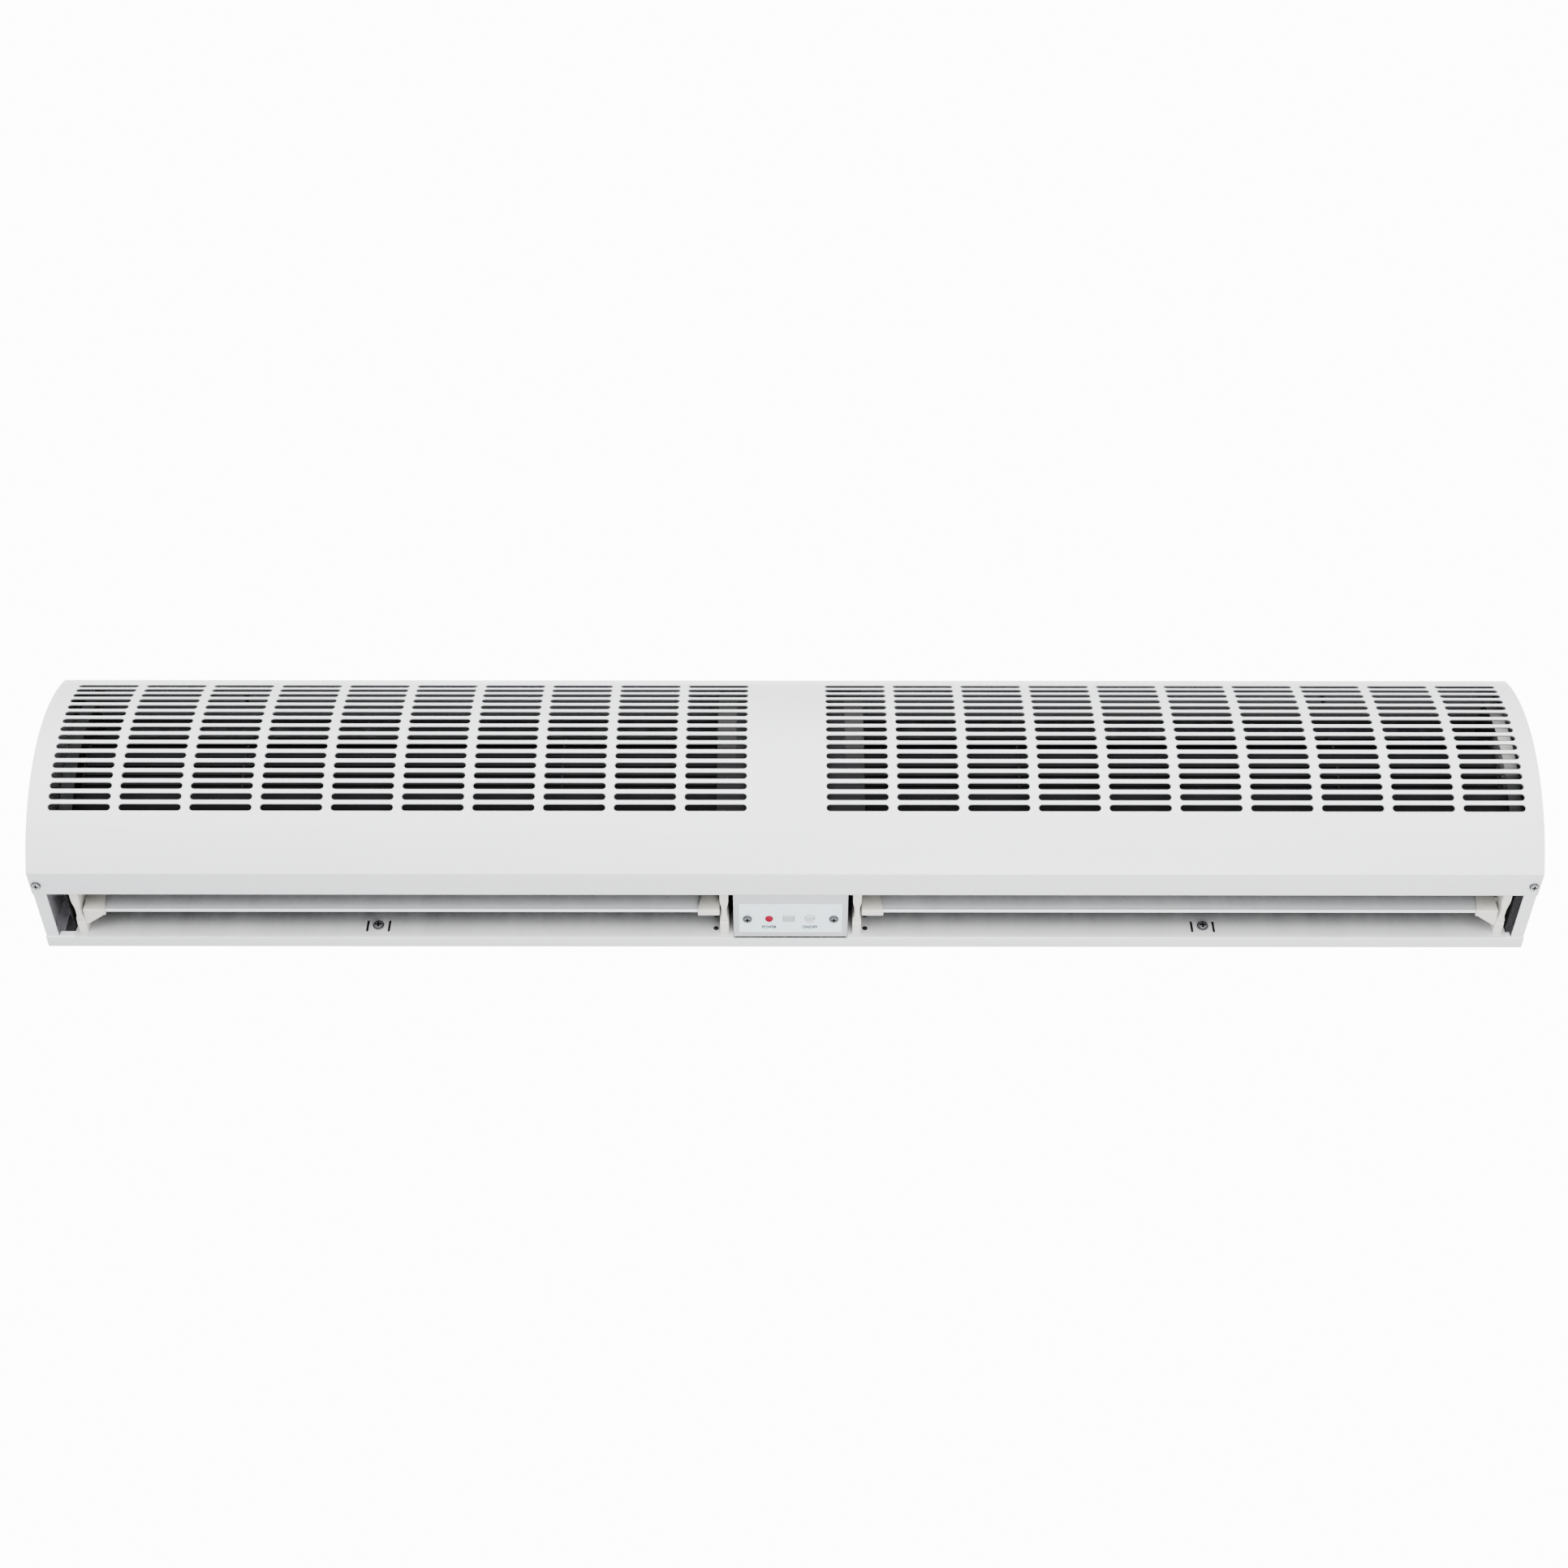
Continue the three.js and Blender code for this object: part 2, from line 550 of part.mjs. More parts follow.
/** Scroll above and behind the impeller, which runs down into the outlet's back wall. */
function scroll(side) {
  const turns = 8;
  const spiral = Array.from({ length: turns + 1 }, (_, i) => {
    const share = i / turns;
    const angle = radians(SCROLL_FROM + (SCROLL_TO - SCROLL_FROM) * share);
    const radius = SCROLL_START_RADIUS + (SCROLL_END_RADIUS - SCROLL_START_RADIUS) * share;
    return new THREE.Vector2(AXIS.x + radius * Math.cos(angle), AXIS.y - radius * Math.sin(angle));
  });
  const head = INNER_TOP - FIT - SHEET;
  const path = [
    new THREE.Vector2(spiral[0].x - SCROLL_TAB, head),
    new THREE.Vector2(spiral[0].x, head),
    ...spiral,
    new THREE.Vector2(CHANNEL_BACK, NOZZLE_HEIGHT),
    new THREE.Vector2(CHANNEL_BACK, FIT),
  ];
  const slits = [-1, 1].map((edge) => {
    const x = lockX(side) + edge * LANCE_HALF;
    const z = LOCK_HEIGHT - LANCE_HEIGHT / 2;
    const [near, far] = [CHANNEL_BACK - SHEET, CHANNEL_BACK + 2 * SHEET];
    return block(x - LANCE_WIDTH / 2, x + LANCE_WIDTH / 2, near, far, z, z + LANCE_HEIGHT);
  });
  const guides = GUIDE_HEIGHTS.map((z) => {
    const hole = rod(GUIDE_HOLE, 4 * SHEET, 6).rotate([90, 0, 0]);
    return placed(hole, partitionX(side) + side * GUIDE_INSET, CHANNEL_BACK + 2 * SHEET, z);
  });
  return cut(
    alongX(bent(path, SHEET), ...channel(side)),
    ...slits,
    ...guides,
    lockBore(side, LOCK_SHANK + FIT),
  );
}

/** Front wall of the outlet, which ends in the tongue that follows the impeller. */
function tongue(side) {
  const y = MOUTH_FRONT - SHEET - FIT;
  const path = [
    new THREE.Vector2(y, SHEET + FIT),
    new THREE.Vector2(y, HEM + FIT),
    ...bow(AXIS.x, AXIS.y, TONGUE_RADIUS, -radians(TONGUE_FROM), -radians(TONGUE_TO), 4),
  ];
  return alongX(bent(path, SHEET), ...channel(side));
}

/** Outline of one blade across the wheel, leaning from its root to its tip. */
function bladeOutline() {
  const radii = [IMPELLER_RADIUS - BLADE_DEPTH, IMPELLER_RADIUS - BLADE_INSET];
  const edge = (offset) => radii.map((radius, i) => {
    const angle = radians(i * BLADE_LEAN) + offset / radius;
    return [radius * Math.cos(angle), radius * Math.sin(angle)];
  });
  return [...edge(-BLADE_THICKNESS / 2), ...edge(BLADE_THICKNESS / 2).reverse()];
}

/** Cross-flow wheel along +Z: leaning blades between two end discs, with stiffening rings. */
function wheel() {
  const span = IMPELLER_LENGTH - DISC;
  const blade = upright(bladeOutline(), DISC / 2, span + DISC / 2);
  const blades = Array.from({ length: BLADES }, (_, i) => blade.rotate([0, 0, (360 * i) / BLADES]));
  const inner = IMPELLER_RADIUS - BLADE_DEPTH - BLADE_INSET;
  const ring = turned([[inner, 0], [IMPELLER_RADIUS, 0], [IMPELLER_RADIUS, DISC], [inner, DISC]], BLADES);
  const rings = Array.from({ length: STIFFENERS }, (_, i) => (
    placed(ring, 0, 0, (span * (i + 1)) / (STIFFENERS + 1))
  ));
  const disc = rod(IMPELLER_RADIUS, DISC, BLADES);
  const bores = [
    placed(borer(SHAFT_RADIUS + FIT, 3 * DISC, 10), 0, 0, -DISC),
    placed(borer(STUB_RADIUS + FIT, 3 * DISC, 10), 0, 0, span - DISC),
  ];
  return cut(joined(disc, placed(disc, 0, 0, span), ...rings, ...blades), ...bores);
}

/** Clamping hub inside a wheel's inner disc, on the motor's shaft. */
function hub() {
  const from = DISC + FIT;
  const bore = clearOf(SHAFT_RADIUS + FIT, 10);
  const neck = HUB_RADIUS * 0.75;
  const shoulder = from + HUB_LENGTH * 0.4;
  const tip = from + HUB_LENGTH;
  return turned([[bore, from], [HUB_RADIUS, from], [HUB_RADIUS, shoulder], [neck, shoulder],
    [neck, tip], [bore, tip]], 10);
}

/** Stub shaft: a flange inside a wheel's outer disc, and a journal in the end bush. */
function stubShaft() {
  const inside = IMPELLER_LENGTH - DISC - FIT;
  const tip = IMPELLER_LENGTH + IMPELLER_END_GAP + BUSH_LENGTH / 2;
  return turned([[0, inside - STUB_FLANGE], [HUB_RADIUS, inside - STUB_FLANGE], [HUB_RADIUS, inside],
    [STUB_RADIUS, inside], [STUB_RADIUS, tip], [0, tip]], 10);
}

/** Stator can between two end shields, whose bosses sit in the partitions' rubber rings. */
function motor() {
  const can = MOTOR_LENGTH / 2;
  const boss = BAY_WIDTH / 2 + SHEET + RUBBER_FLANGE + FIT;
  const bore = clearOf(SHAFT_RADIUS + FIT, 14);
  const shield = can - MOTOR_CHAMFER;
  const rim = MOTOR_RADIUS - MOTOR_CHAMFER;
  return onShaft(turned([
    [bore, -boss], [MOTOR_BOSS_RADIUS, -boss], [MOTOR_BOSS_RADIUS, -shield], [rim, -can],
    [MOTOR_RADIUS, -shield], [MOTOR_RADIUS, shield], [rim, can], [MOTOR_BOSS_RADIUS, shield],
    [MOTOR_BOSS_RADIUS, boss], [bore, boss],
  ], 14), WORKS_SHIFT);
}

/** Bowed sheet that closes the motor bay behind the plain band of the grille. */
function motorCover() {
  const radius = WALL_RADIUS + FIT + SHEET;
  const half = BAY_WIDTH / 2 + PARTITION_FOLD;
  const high = Math.asin((INNER_TOP - FIT - BOW_HEIGHT) / radius);
  const low = -Math.asin((BOW_HEIGHT - WALL_FOOT) / radius);
  const path = bow(BOW_Y, BOW_HEIGHT, radius, high, low, 8);
  return alongX(bent(path, SHEET), WORKS_SHIFT - half, WORKS_SHIFT + half);
}

function fanUnit() {
  const reach = BAY_WIDTH / 2 + SHEET + IMPELLER_END_GAP + HUB_LENGTH;
  piece('motor_shaft', onShaft(rod(SHAFT_RADIUS, 2 * reach, 10), WORKS_SHIFT - reach), 'steel');
  piece('motor_body', motor(), 'zinc');
  piece('motor_cover', motorCover(), 'zinc');
  const wheelBody = wheel();
  SIDES.forEach(([side, name]) => {
    const along = (body) => onShaft(pointing(body, side), impellerX(side));
    const bore = clearOf(STUB_RADIUS + FIT, 10);
    const bush = turned([[bore, -BUSH_LENGTH / 2], [BUSH_RADIUS, -BUSH_LENGTH / 2],
      [BUSH_RADIUS, BUSH_LENGTH / 2], [bore, BUSH_LENGTH / 2]], 10);
    const ringX = partitionX(side) + (side * SHEET) / 2;
    const bearingX = bracketX(side) + (side * SHEET) / 2;
    piece(`${name}_impeller`, along(side < 0 ? wheelBody.mirror([0, 1, 0]) : wheelBody), 'black');
    piece(`${name}_hub`, along(hub()), 'steel');
    piece(`${name}_stub_shaft`, along(stubShaft()), 'steel');
    piece(`${name}_partition`, partition(side), 'zinc');
    piece(`${name}_end_bracket`, endBracket(side), 'zinc');
    piece(`${name}_motor_ring`, onShaft(rubberRing(MOTOR_SEAT, 10), ringX), 'rubber');
    piece(`${name}_bearing_ring`, onShaft(rubberRing(BUSH_SEAT, 8), bearingX), 'rubber');
    piece(`${name}_bush`, onShaft(bush, bearingX), 'bronze');
    piece(`${name}_scroll`, scroll(side), 'zinc');
    piece(`${name}_tongue`, tongue(side), 'black');
  });
}

// ---------------------------------------------------------------- vanes
const vaneEnd = (side, edge) => (edge > 0 ? bracketX(side) : partitionX(side) + side * SHEET);
/** Direction along X from a bracket into its outlet. */
const inward = (side, edge) => -side * edge;
const bracketNear = (side, edge) => vaneEnd(side, edge) + inward(side, edge) * BRACKET_GAP;
const bracketFar = (side, edge) => bracketNear(side, edge) + inward(side, edge) * BRACKET_WIDTH;
const capFace = (side, edge) => bracketFar(side, edge) + inward(side, edge) * FIT;
const capFloor = (side, edge) => capFace(side, edge) + inward(side, edge) * CAP_END_THICKNESS;

/** A (y, z) point from its place across and along the blade. */
const onVane = (across, along) => new THREE.Vector2(PIVOT.x + across, PIVOT.y + along);
const aroundPivot = (radius, from, to) => (
  placed(rod(radius, to - from, 8).rotate([0, 90, 0]), from, PIVOT.x, PIVOT.y)
);

/** Blade: a thin extrusion with a bead along both edges. */
function blade(side) {
  const half = VANE_WIDTH / 2;
  const edge = [[VANE_SKIN / 2, half - 2 * VANE_BEAD], [VANE_BEAD, half - VANE_BEAD], [VANE_BEAD / 2, half],
    [-VANE_BEAD / 2, half], [-VANE_BEAD, half - VANE_BEAD], [-VANE_SKIN / 2, half - 2 * VANE_BEAD]];
  const outline = [...edge, ...edge.map(([across, along]) => [-across, -along])];
  const ends = [-1, 1].map((end) => capFloor(side, end) + inward(side, end) * FIT);
  return alongX(outline.map((point) => onVane(...point)), ...ordered(...ends));
}

/** Moulded end cap: a sleeve round the blade, a pivot pin, and a web behind the outer ones. */
function vaneCap(side, edge) {
  const direction = inward(side, edge);
  const thick = VANE_BEAD + FIT + CAP_WALL;
  const high = VANE_WIDTH / 2 + FIT + CAP_WALL;
  const face = capFace(side, edge);
  const floor = capFloor(side, edge);
  const mouth = floor + direction * VANE_GRIP;
  const oblong = (a, b) => [onVane(-a, -b), onVane(a, -b), onVane(a, b), onVane(-a, b)];
  const pocket = alongX(oblong(thick - CAP_WALL, high - CAP_WALL), ...ordered(floor, mouth + direction));
  const sleeve = cut(alongX(oblong(thick, high), ...ordered(face, mouth)), pocket);
  const waist = (BRACKET_WIDTH - BRACKET_WAIST) / 2;
  const tip = face - direction * (FIT + BRACKET_WIDTH - waist - FIT);
  const pin = aroundPivot(PIVOT_RADIUS, ...ordered(tip, face + direction));
  if (edge < 0) return joined(sleeve, pin);
  const foot = PIVOT.y - high;
  const rear = PIVOT.x + thick;
  const root = rear - CAP_WALL / 2;
  const corners = [[face, root], [mouth, root], [mouth, rear], [face, rear + CAP_WEB]];
  const web = upright(direction > 0 ? corners : corners.reverse(), foot, foot + CAP_WEB_THICKNESS);
  return joined(sleeve, pin, web);
}

/** Vane bracket across the outlet: full width at both ends and waisted round the pivot's bore. */
function vaneBracket(side, edge) {
  const direction = inward(side, edge);
  const near = bracketNear(side, edge);
  const far = bracketFar(side, edge);
  const inset = (direction * (BRACKET_WIDTH - BRACKET_WAIST)) / 2;
  const front = MOUTH_FRONT + FIT;
  const back = CHANNEL_BACK - FIT;
  const flank = [[near, front], [near, front + BRACKET_FOOT], [near + inset, PIVOT.x - PIVOT_RADIUS],
    [near + inset, PIVOT.x + PIVOT_RADIUS], [near, back - BRACKET_FOOT], [near, back]];
  const outline = [...flank, ...flank.map(([x, y]) => [near + far - x, y]).reverse()];
  const bore = aroundPivot(clearOf(PIVOT_RADIUS + FIT, 8), ...ordered(near - direction, far + direction));
  const facing = direction < 0 ? outline : outline.reverse();
  const post = upright(facing, BRACKET_BASE, BRACKET_BASE + BRACKET_HEIGHT);
  return cut(post, bore);
}

function vanes() {
  const ends = [[-1, 'inner'], [1, 'outer']];
  SIDES.forEach(([side, name]) => {
    piece(`${name}_vane`, blade(side), 'aluminium');
    ends.forEach(([edge, end]) => {
      piece(`${name}_${end}_vane_cap`, vaneCap(side, edge), 'cream');
      piece(`${name}_${end}_vane_bracket`, vaneBracket(side, edge), 'cream');
    });
  });
}

// ---------------------------------------------------------------- control panel
const onPanel = (body, x) => placed(body, WORKS_SHIFT + x, CONTROLS_Y, 0);
const PANEL_SCREW_XS = [-PANEL_SCREW_HALF, PANEL_SCREW_HALF];

/** Upright openings for the controls and the two screws, with a clearance round each. */
function controlOpenings() {
  const reach = 4 * SHEET;
  const hole = (radius, x) => onPanel(placed(borer(radius + FIT, reach, 8), 0, 0, -reach / 2), x);
  const length = WINDOW_LENGTH / 2 + FIT;
  const depth = WINDOW_DEPTH / 2 + FIT;
  return [
    hole(LAMP_RADIUS, LAMP_X),
    hole(BUTTON_RADIUS, BUTTON_X),
    onPanel(block(-length, length, -depth, depth, -reach / 2, reach / 2), WINDOW_X),
    ...PANEL_SCREW_XS.map((x) => hole(SCREW_SHANK, x)),
  ];
}

/** Tray that bridges the outlet under the motor bay, folded up along all four sides. */
function controlPanel() {
  const inside = BAY_WIDTH / 2 - FIT;
  const path = [
    new THREE.Vector2(PANEL_FRONT, PANEL_FLANGE),
    new THREE.Vector2(PANEL_FRONT, PANEL_RECESS),
    new THREE.Vector2(PANEL_REAR, PANEL_RECESS),
    new THREE.Vector2(PANEL_REAR, PANEL_FLANGE),
  ];
  const head = WALL_FOOT - FIT;
  const [left, right] = [WORKS_SHIFT - PANEL_HALF, WORKS_SHIFT + PANEL_HALF];
  return cut(
    joined(
      alongX(bent(path, SHEET), WORKS_SHIFT - inside, WORKS_SHIFT + inside),
      block(left, right, PANEL_FRONT, PANEL_REAR, PANEL_RECESS, PANEL_TOP),
      block(left, left + 2 * SHEET, PANEL_FRONT, PANEL_REAR, PANEL_RECESS, head),
      block(right - 2 * SHEET, right, PANEL_FRONT, PANEL_REAR, PANEL_RECESS, head),
    ),
    ...controlOpenings(),
  );
}

/** Lens, window or button profile: a shaft through the panel with a rim behind it. */
function behindPanel(radius, proud, top) {
  const rimFoot = PANEL_TOP + FIT;
  const face = OVERLAY_FACE - proud;
  return [[0, face], [radius * 0.75, face], [radius, face + proud * 0.6], [radius, rimFoot],
    [radius + RIM, rimFoot], [radius + RIM, rimFoot + RIM], ...top];
}

function controlLamp() {
  const top = BOARD_Z - FIT;
  const neck = LAMP_RADIUS * 0.8;
  const rim = PANEL_TOP + FIT + RIM;
  return turned(behindPanel(LAMP_RADIUS, LAMP_PROUD, [[neck, rim], [neck, top], [0, top]]), 8);
}

function controlButton() {
  const top = BOARD_Z - SWITCH_HEIGHT - FIT - BUTTON_TRAVEL;
  const rim = PANEL_TOP + FIT + RIM;
  const stem = [[STEM_RADIUS, rim], [STEM_RADIUS, top], [0, top]];
  return turned(behindPanel(BUTTON_RADIUS, BUTTON_PROUD, stem), 8);
}

function receiverWindow() {
  const rimFoot = PANEL_TOP + FIT;
  const centred = (length, depth, from, to) => (
    block(-length / 2, length / 2, -depth / 2, depth / 2, from, to)
  );
  return joined(
    centred(WINDOW_LENGTH, WINDOW_DEPTH, OVERLAY_FACE - WINDOW_PROUD, rimFoot + RIM),
    centred(WINDOW_LENGTH + 2 * RIM, WINDOW_DEPTH + 2 * RIM, rimFoot, rimFoot + RIM),
    centred(WINDOW_LENGTH / 2, WINDOW_DEPTH / 2, rimFoot, BOARD_Z - FIT),
  );
}

/** Circuit board on four spacers, with its push switch below and relay and socket above. */
function controlBoard() {
  const length = BAY_WIDTH / 2 - BOARD_INSET;
  const [front, rear] = [BOARD_FRONT - CONTROLS_Y, BOARD_REAR - CONTROLS_Y];
  const top = BOARD_Z + BOARD_THICKNESS;
  const sunk = BOARD_THICKNESS / 2;
  const footZ = WALL_FOOT + SHEET + FIT;
  const feet = [-1, 1].flatMap((end) => [front, rear - FOOT_WIDTH].map((y) => block(
    ...ordered(end * length, end * (length - FOOT_WIDTH)),
    y,
    y + FOOT_WIDTH,
    footZ,
    BOARD_Z + sunk,
  )));
  const key = SWITCH_SIZE / 2;
  const relayX = length / 2;
  return onPanel(joined(
    block(-length, length, front, rear, BOARD_Z, top),
    ...feet,
    block(BUTTON_X - key, BUTTON_X + key, -key, key, BOARD_Z - SWITCH_HEIGHT, BOARD_Z + sunk),
    block(relayX, relayX + RELAY.x, -RELAY.y / 2, RELAY.y / 2, top - sunk, top + RELAY.z),
    block(-relayX - SOCKET.x, -relayX, -SOCKET.y / 2, SOCKET.y / 2, top - sunk, top + SOCKET.z),
  ), 0);
}

/** Printed film over the middle of the panel. */
function controlOverlay() {
  const [length, depth] = [OVERLAY_LENGTH / 2, OVERLAY_DEPTH / 2];
  const film = block(-length, length, -depth, depth, OVERLAY_FACE, OVERLAY_FACE + OVERLAY_THICKNESS);
  return cut(onPanel(film, 0), ...controlOpenings());
}

function controls() {
  piece('control_panel', controlPanel(), 'white');
  piece('control_overlay', controlOverlay(), 'overlay');
  piece('power_lamp', onPanel(controlLamp(), LAMP_X), 'lamp');
  piece('receiver_window', onPanel(receiverWindow(), WINDOW_X), 'window');
  piece('power_button', onPanel(controlButton(), BUTTON_X), 'button');
  piece('control_board', controlBoard(), 'board');
}

// ---------------------------------------------------------------- electrics on the casing
/** Rubber grommet that lines the cable inlet in the casing's top. */
function cableGrommet() {
  return placed(rubberRing(INLET_BORE, 8), INLET_X, INLET_Y, CASING_TOP - SHEET / 2);
}

/** Screw terminals in a row of moulded cells, on the casing's back inside the motor bay. */
function terminalBlock() {
  const back = INNER_BACK - FIT;
  const pitch = TERMINAL.x / TERMINAL_WAYS;
  const from = INLET_X - TERMINAL.x / 2;
  const cells = Array.from({ length: TERMINAL_WAYS }, (_, i) => block(
    from + i * pitch + CAP_WALL,
    from + (i + 1) * pitch - CAP_WALL,
    back - TERMINAL.y - 1,
    back - TERMINAL.y / 2,
    TERMINAL_FOOT + CAP_WALL,
    TERMINAL_FOOT + TERMINAL.z + 1,
  ));
  const head = TERMINAL_FOOT + TERMINAL.z;
  const body = block(from, from + TERMINAL.x, back - TERMINAL.y, back, TERMINAL_FOOT, head);
  return cut(body, ...cells);
}

/** Motor run capacitor: a moulded box with a fixing ear at each end. */
function runCapacitor() {
  const back = INNER_BACK - FIT;
  const [x, z] = [WORKS_SHIFT - CAPACITOR.x / 2, CAPACITOR_FOOT];
  const ear = CAPACITOR_EAR;
  const third = CAPACITOR.z / 3;
  return joined(
    block(x, x + CAPACITOR.x, back - CAPACITOR.y, back, z, z + CAPACITOR.z),
    block(x - ear, x + CAPACITOR.x + ear, back - 2 * SHEET, back, z + third, z + 2 * third),
  );
}

// ---------------------------------------------------------------- mounting rail
/** Folded rail that is screwed to the wall, with two hooks for the casing and two locking tabs. */
function mountingRail() {
  const head = RAIL_FOOT + RAIL_HEIGHT;
  const path = [
    new THREE.Vector2(RAIL_FRONT, RAIL_FOOT),
    new THREE.Vector2(0, RAIL_FOOT),
    new THREE.Vector2(0, head),
    new THREE.Vector2(RAIL_FRONT, head),
  ];
  const hookLip = INNER_BACK - FIT;
  const tip = hookLip - RAIL_SHEET;
  const shelf = HOOK_HEIGHT + RAIL_SHEET;
  const half = HOOK_WIDTH / 2;
  const hooks = SIDES.flatMap(([side]) => {
    const [x0, x1] = [side * HOOK_HALF - half, side * HOOK_HALF + half];
    return [
      block(x0, x1, tip, -RAIL_SHEET / 2, HOOK_HEIGHT, shelf),
      block(x0, x1, tip, hookLip, HOOK_HEIGHT, shelf + HOOK_RISE),
    ];
  });
  const windows = SIDES.map(([side]) => {
    const [x0, x1] = [side * HOOK_HALF - half, side * HOOK_HALF + half];
    return block(x0, x1, -2 * RAIL_SHEET, RAIL_SHEET, shelf, shelf + HOOK_WINDOW);
  });
  const tabs = SIDES.map(([side]) => {
    const [x0, x1] = [lockX(side) - LOCK_TAB / 2, lockX(side) + LOCK_TAB / 2];
    const foot = LOCK_HEIGHT - LANCE_HEIGHT / 2;
    return block(x0, x1, RAIL_FRONT, RAIL_FRONT + RAIL_SHEET, foot, RAIL_FOOT + RAIL_SHEET);
  });
  const holes = SIDES.flatMap(([side]) => [WALL_HOLE_HALF, RAIL_HALF - WALL_HOLE_END].flatMap((x) => (
    [RAIL_FOOT + WALL_HOLE_INSET, head - WALL_HOLE_INSET].map((z) => (
      placed(rod(WALL_HOLE, 4 * RAIL_SHEET, 6).rotate([90, 0, 0]), side * x, 2 * RAIL_SHEET, z)
    ))
  )));
  const rail = alongX(bent(path, RAIL_SHEET), -RAIL_HALF, RAIL_HALF);
  const bores = SIDES.map(([side]) => lockBore(side, LOCK_SHANK + FIT));
  return cut(joined(cut(rail, ...windows), ...hooks, ...tabs), ...holes, ...bores);
}

// ---------------------------------------------------------------- assembly
piece('mounting_rail', mountingRail(), 'zinc');
piece('rear_casing', rearCasing(), 'white');
piece('front_cover', frontCover(), 'white');
SIDES.forEach(([side, name]) => piece(`${name}_end_plate`, endPlate(side), 'white'));
fanUnit();
vanes();
controls();
piece('cable_grommet', cableGrommet(), 'rubber');
piece('terminal_block', terminalBlock(), 'black');
piece('run_capacitor', runCapacitor(), 'black');
screws();

export default group;
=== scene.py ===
"""Looks of an over-door air curtain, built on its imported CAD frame.

Every form is worked out in the casing's own section: x runs along the casing, y is 0 at the wall and
negative towards the room, and z is 0 at the underside, all in millimetres. Meshes are moved into the
frame, in metres, only when they are made.
"""
import json
import logging
import math
from dataclasses import dataclass
from enum import Enum
from typing import Any, Callable, Sequence

import bmesh
import bpy
import numpy as np
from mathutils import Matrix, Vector


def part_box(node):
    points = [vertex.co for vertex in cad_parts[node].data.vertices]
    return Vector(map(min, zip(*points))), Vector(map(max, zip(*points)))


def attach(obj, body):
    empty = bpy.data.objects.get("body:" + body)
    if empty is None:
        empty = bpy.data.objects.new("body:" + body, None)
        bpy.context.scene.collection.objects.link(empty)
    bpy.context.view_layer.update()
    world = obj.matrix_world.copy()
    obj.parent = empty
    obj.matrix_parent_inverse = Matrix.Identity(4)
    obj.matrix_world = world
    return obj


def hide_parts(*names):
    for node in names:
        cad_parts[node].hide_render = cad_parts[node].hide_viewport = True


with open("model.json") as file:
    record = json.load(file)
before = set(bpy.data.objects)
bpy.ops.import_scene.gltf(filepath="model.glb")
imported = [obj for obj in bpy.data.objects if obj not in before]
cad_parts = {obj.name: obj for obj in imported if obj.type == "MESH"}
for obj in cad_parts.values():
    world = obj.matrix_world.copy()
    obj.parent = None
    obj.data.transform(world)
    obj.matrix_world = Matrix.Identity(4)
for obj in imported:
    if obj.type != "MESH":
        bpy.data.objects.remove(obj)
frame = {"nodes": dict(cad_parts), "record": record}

log = logging.getLogger("air_curtain")
Array = np.ndarray
Pair = tuple[float, float]
Triple = tuple[float, float, float]
Box = tuple[float, float, float, float]
METRES = 0.001
RAIL_CENTRE = 115.0  # height of the frame's origin over the underside
SHIFT = 4.5  # the fan unit stands this far to the right of the casing's middle
CREASE = 32.0  # angle in degrees over which an edge stays sharp
ARC_FACES = 6  # faces of an arc at a fold
LEAST_CELL = 0.05  # grid lines of a sheet are at least this far apart
SAME_LINE = 0.02  # grid lines this close to a cell's edge are its edge
RIM_THINNING = 1.4  # how much a sheet thins for each unit that its outer face dips


class Side(Enum):
    """The two halves of the unit, as seen by someone who faces it."""

    LEFT = -1
    RIGHT = 1

    @property
    def label(self) -> str:
        """Name of the half in node names."""
        return self.name.lower()


class Axis(Enum):
    """Direction along which an outline is drawn out: the outline is (y, z), (x, z) or (x, y)."""

    X = 0
    Y = 1
    Z = 2


# ---- mesh making
def quads(index: Array) -> Array:
    """(nu - 1, nv - 1, 4) quads between the neighbours of a grid of indices."""
    return np.stack([index[:-1, :-1], index[1:, :-1], index[1:, 1:], index[:-1, 1:]], -1)


def flat_places(x: Array, along: Array) -> Array:
    """(x, along, 0) places of a sheet that isn't folded yet."""
    return np.stack([x, along, np.zeros_like(x)], -1)


def border(us: Array, vs: Array) -> Array:
    """(n, 2) walk round a rectangle of grid lines, along its lowest v first."""
    grids = np.meshgrid(us, vs, indexing="ij")
    walks = [np.concatenate([g[:-1, 0], g[-1, :-1], g[:0:-1, -1], g[0, :0:-1]]) for g in grids]
    return np.stack(walks, 1)


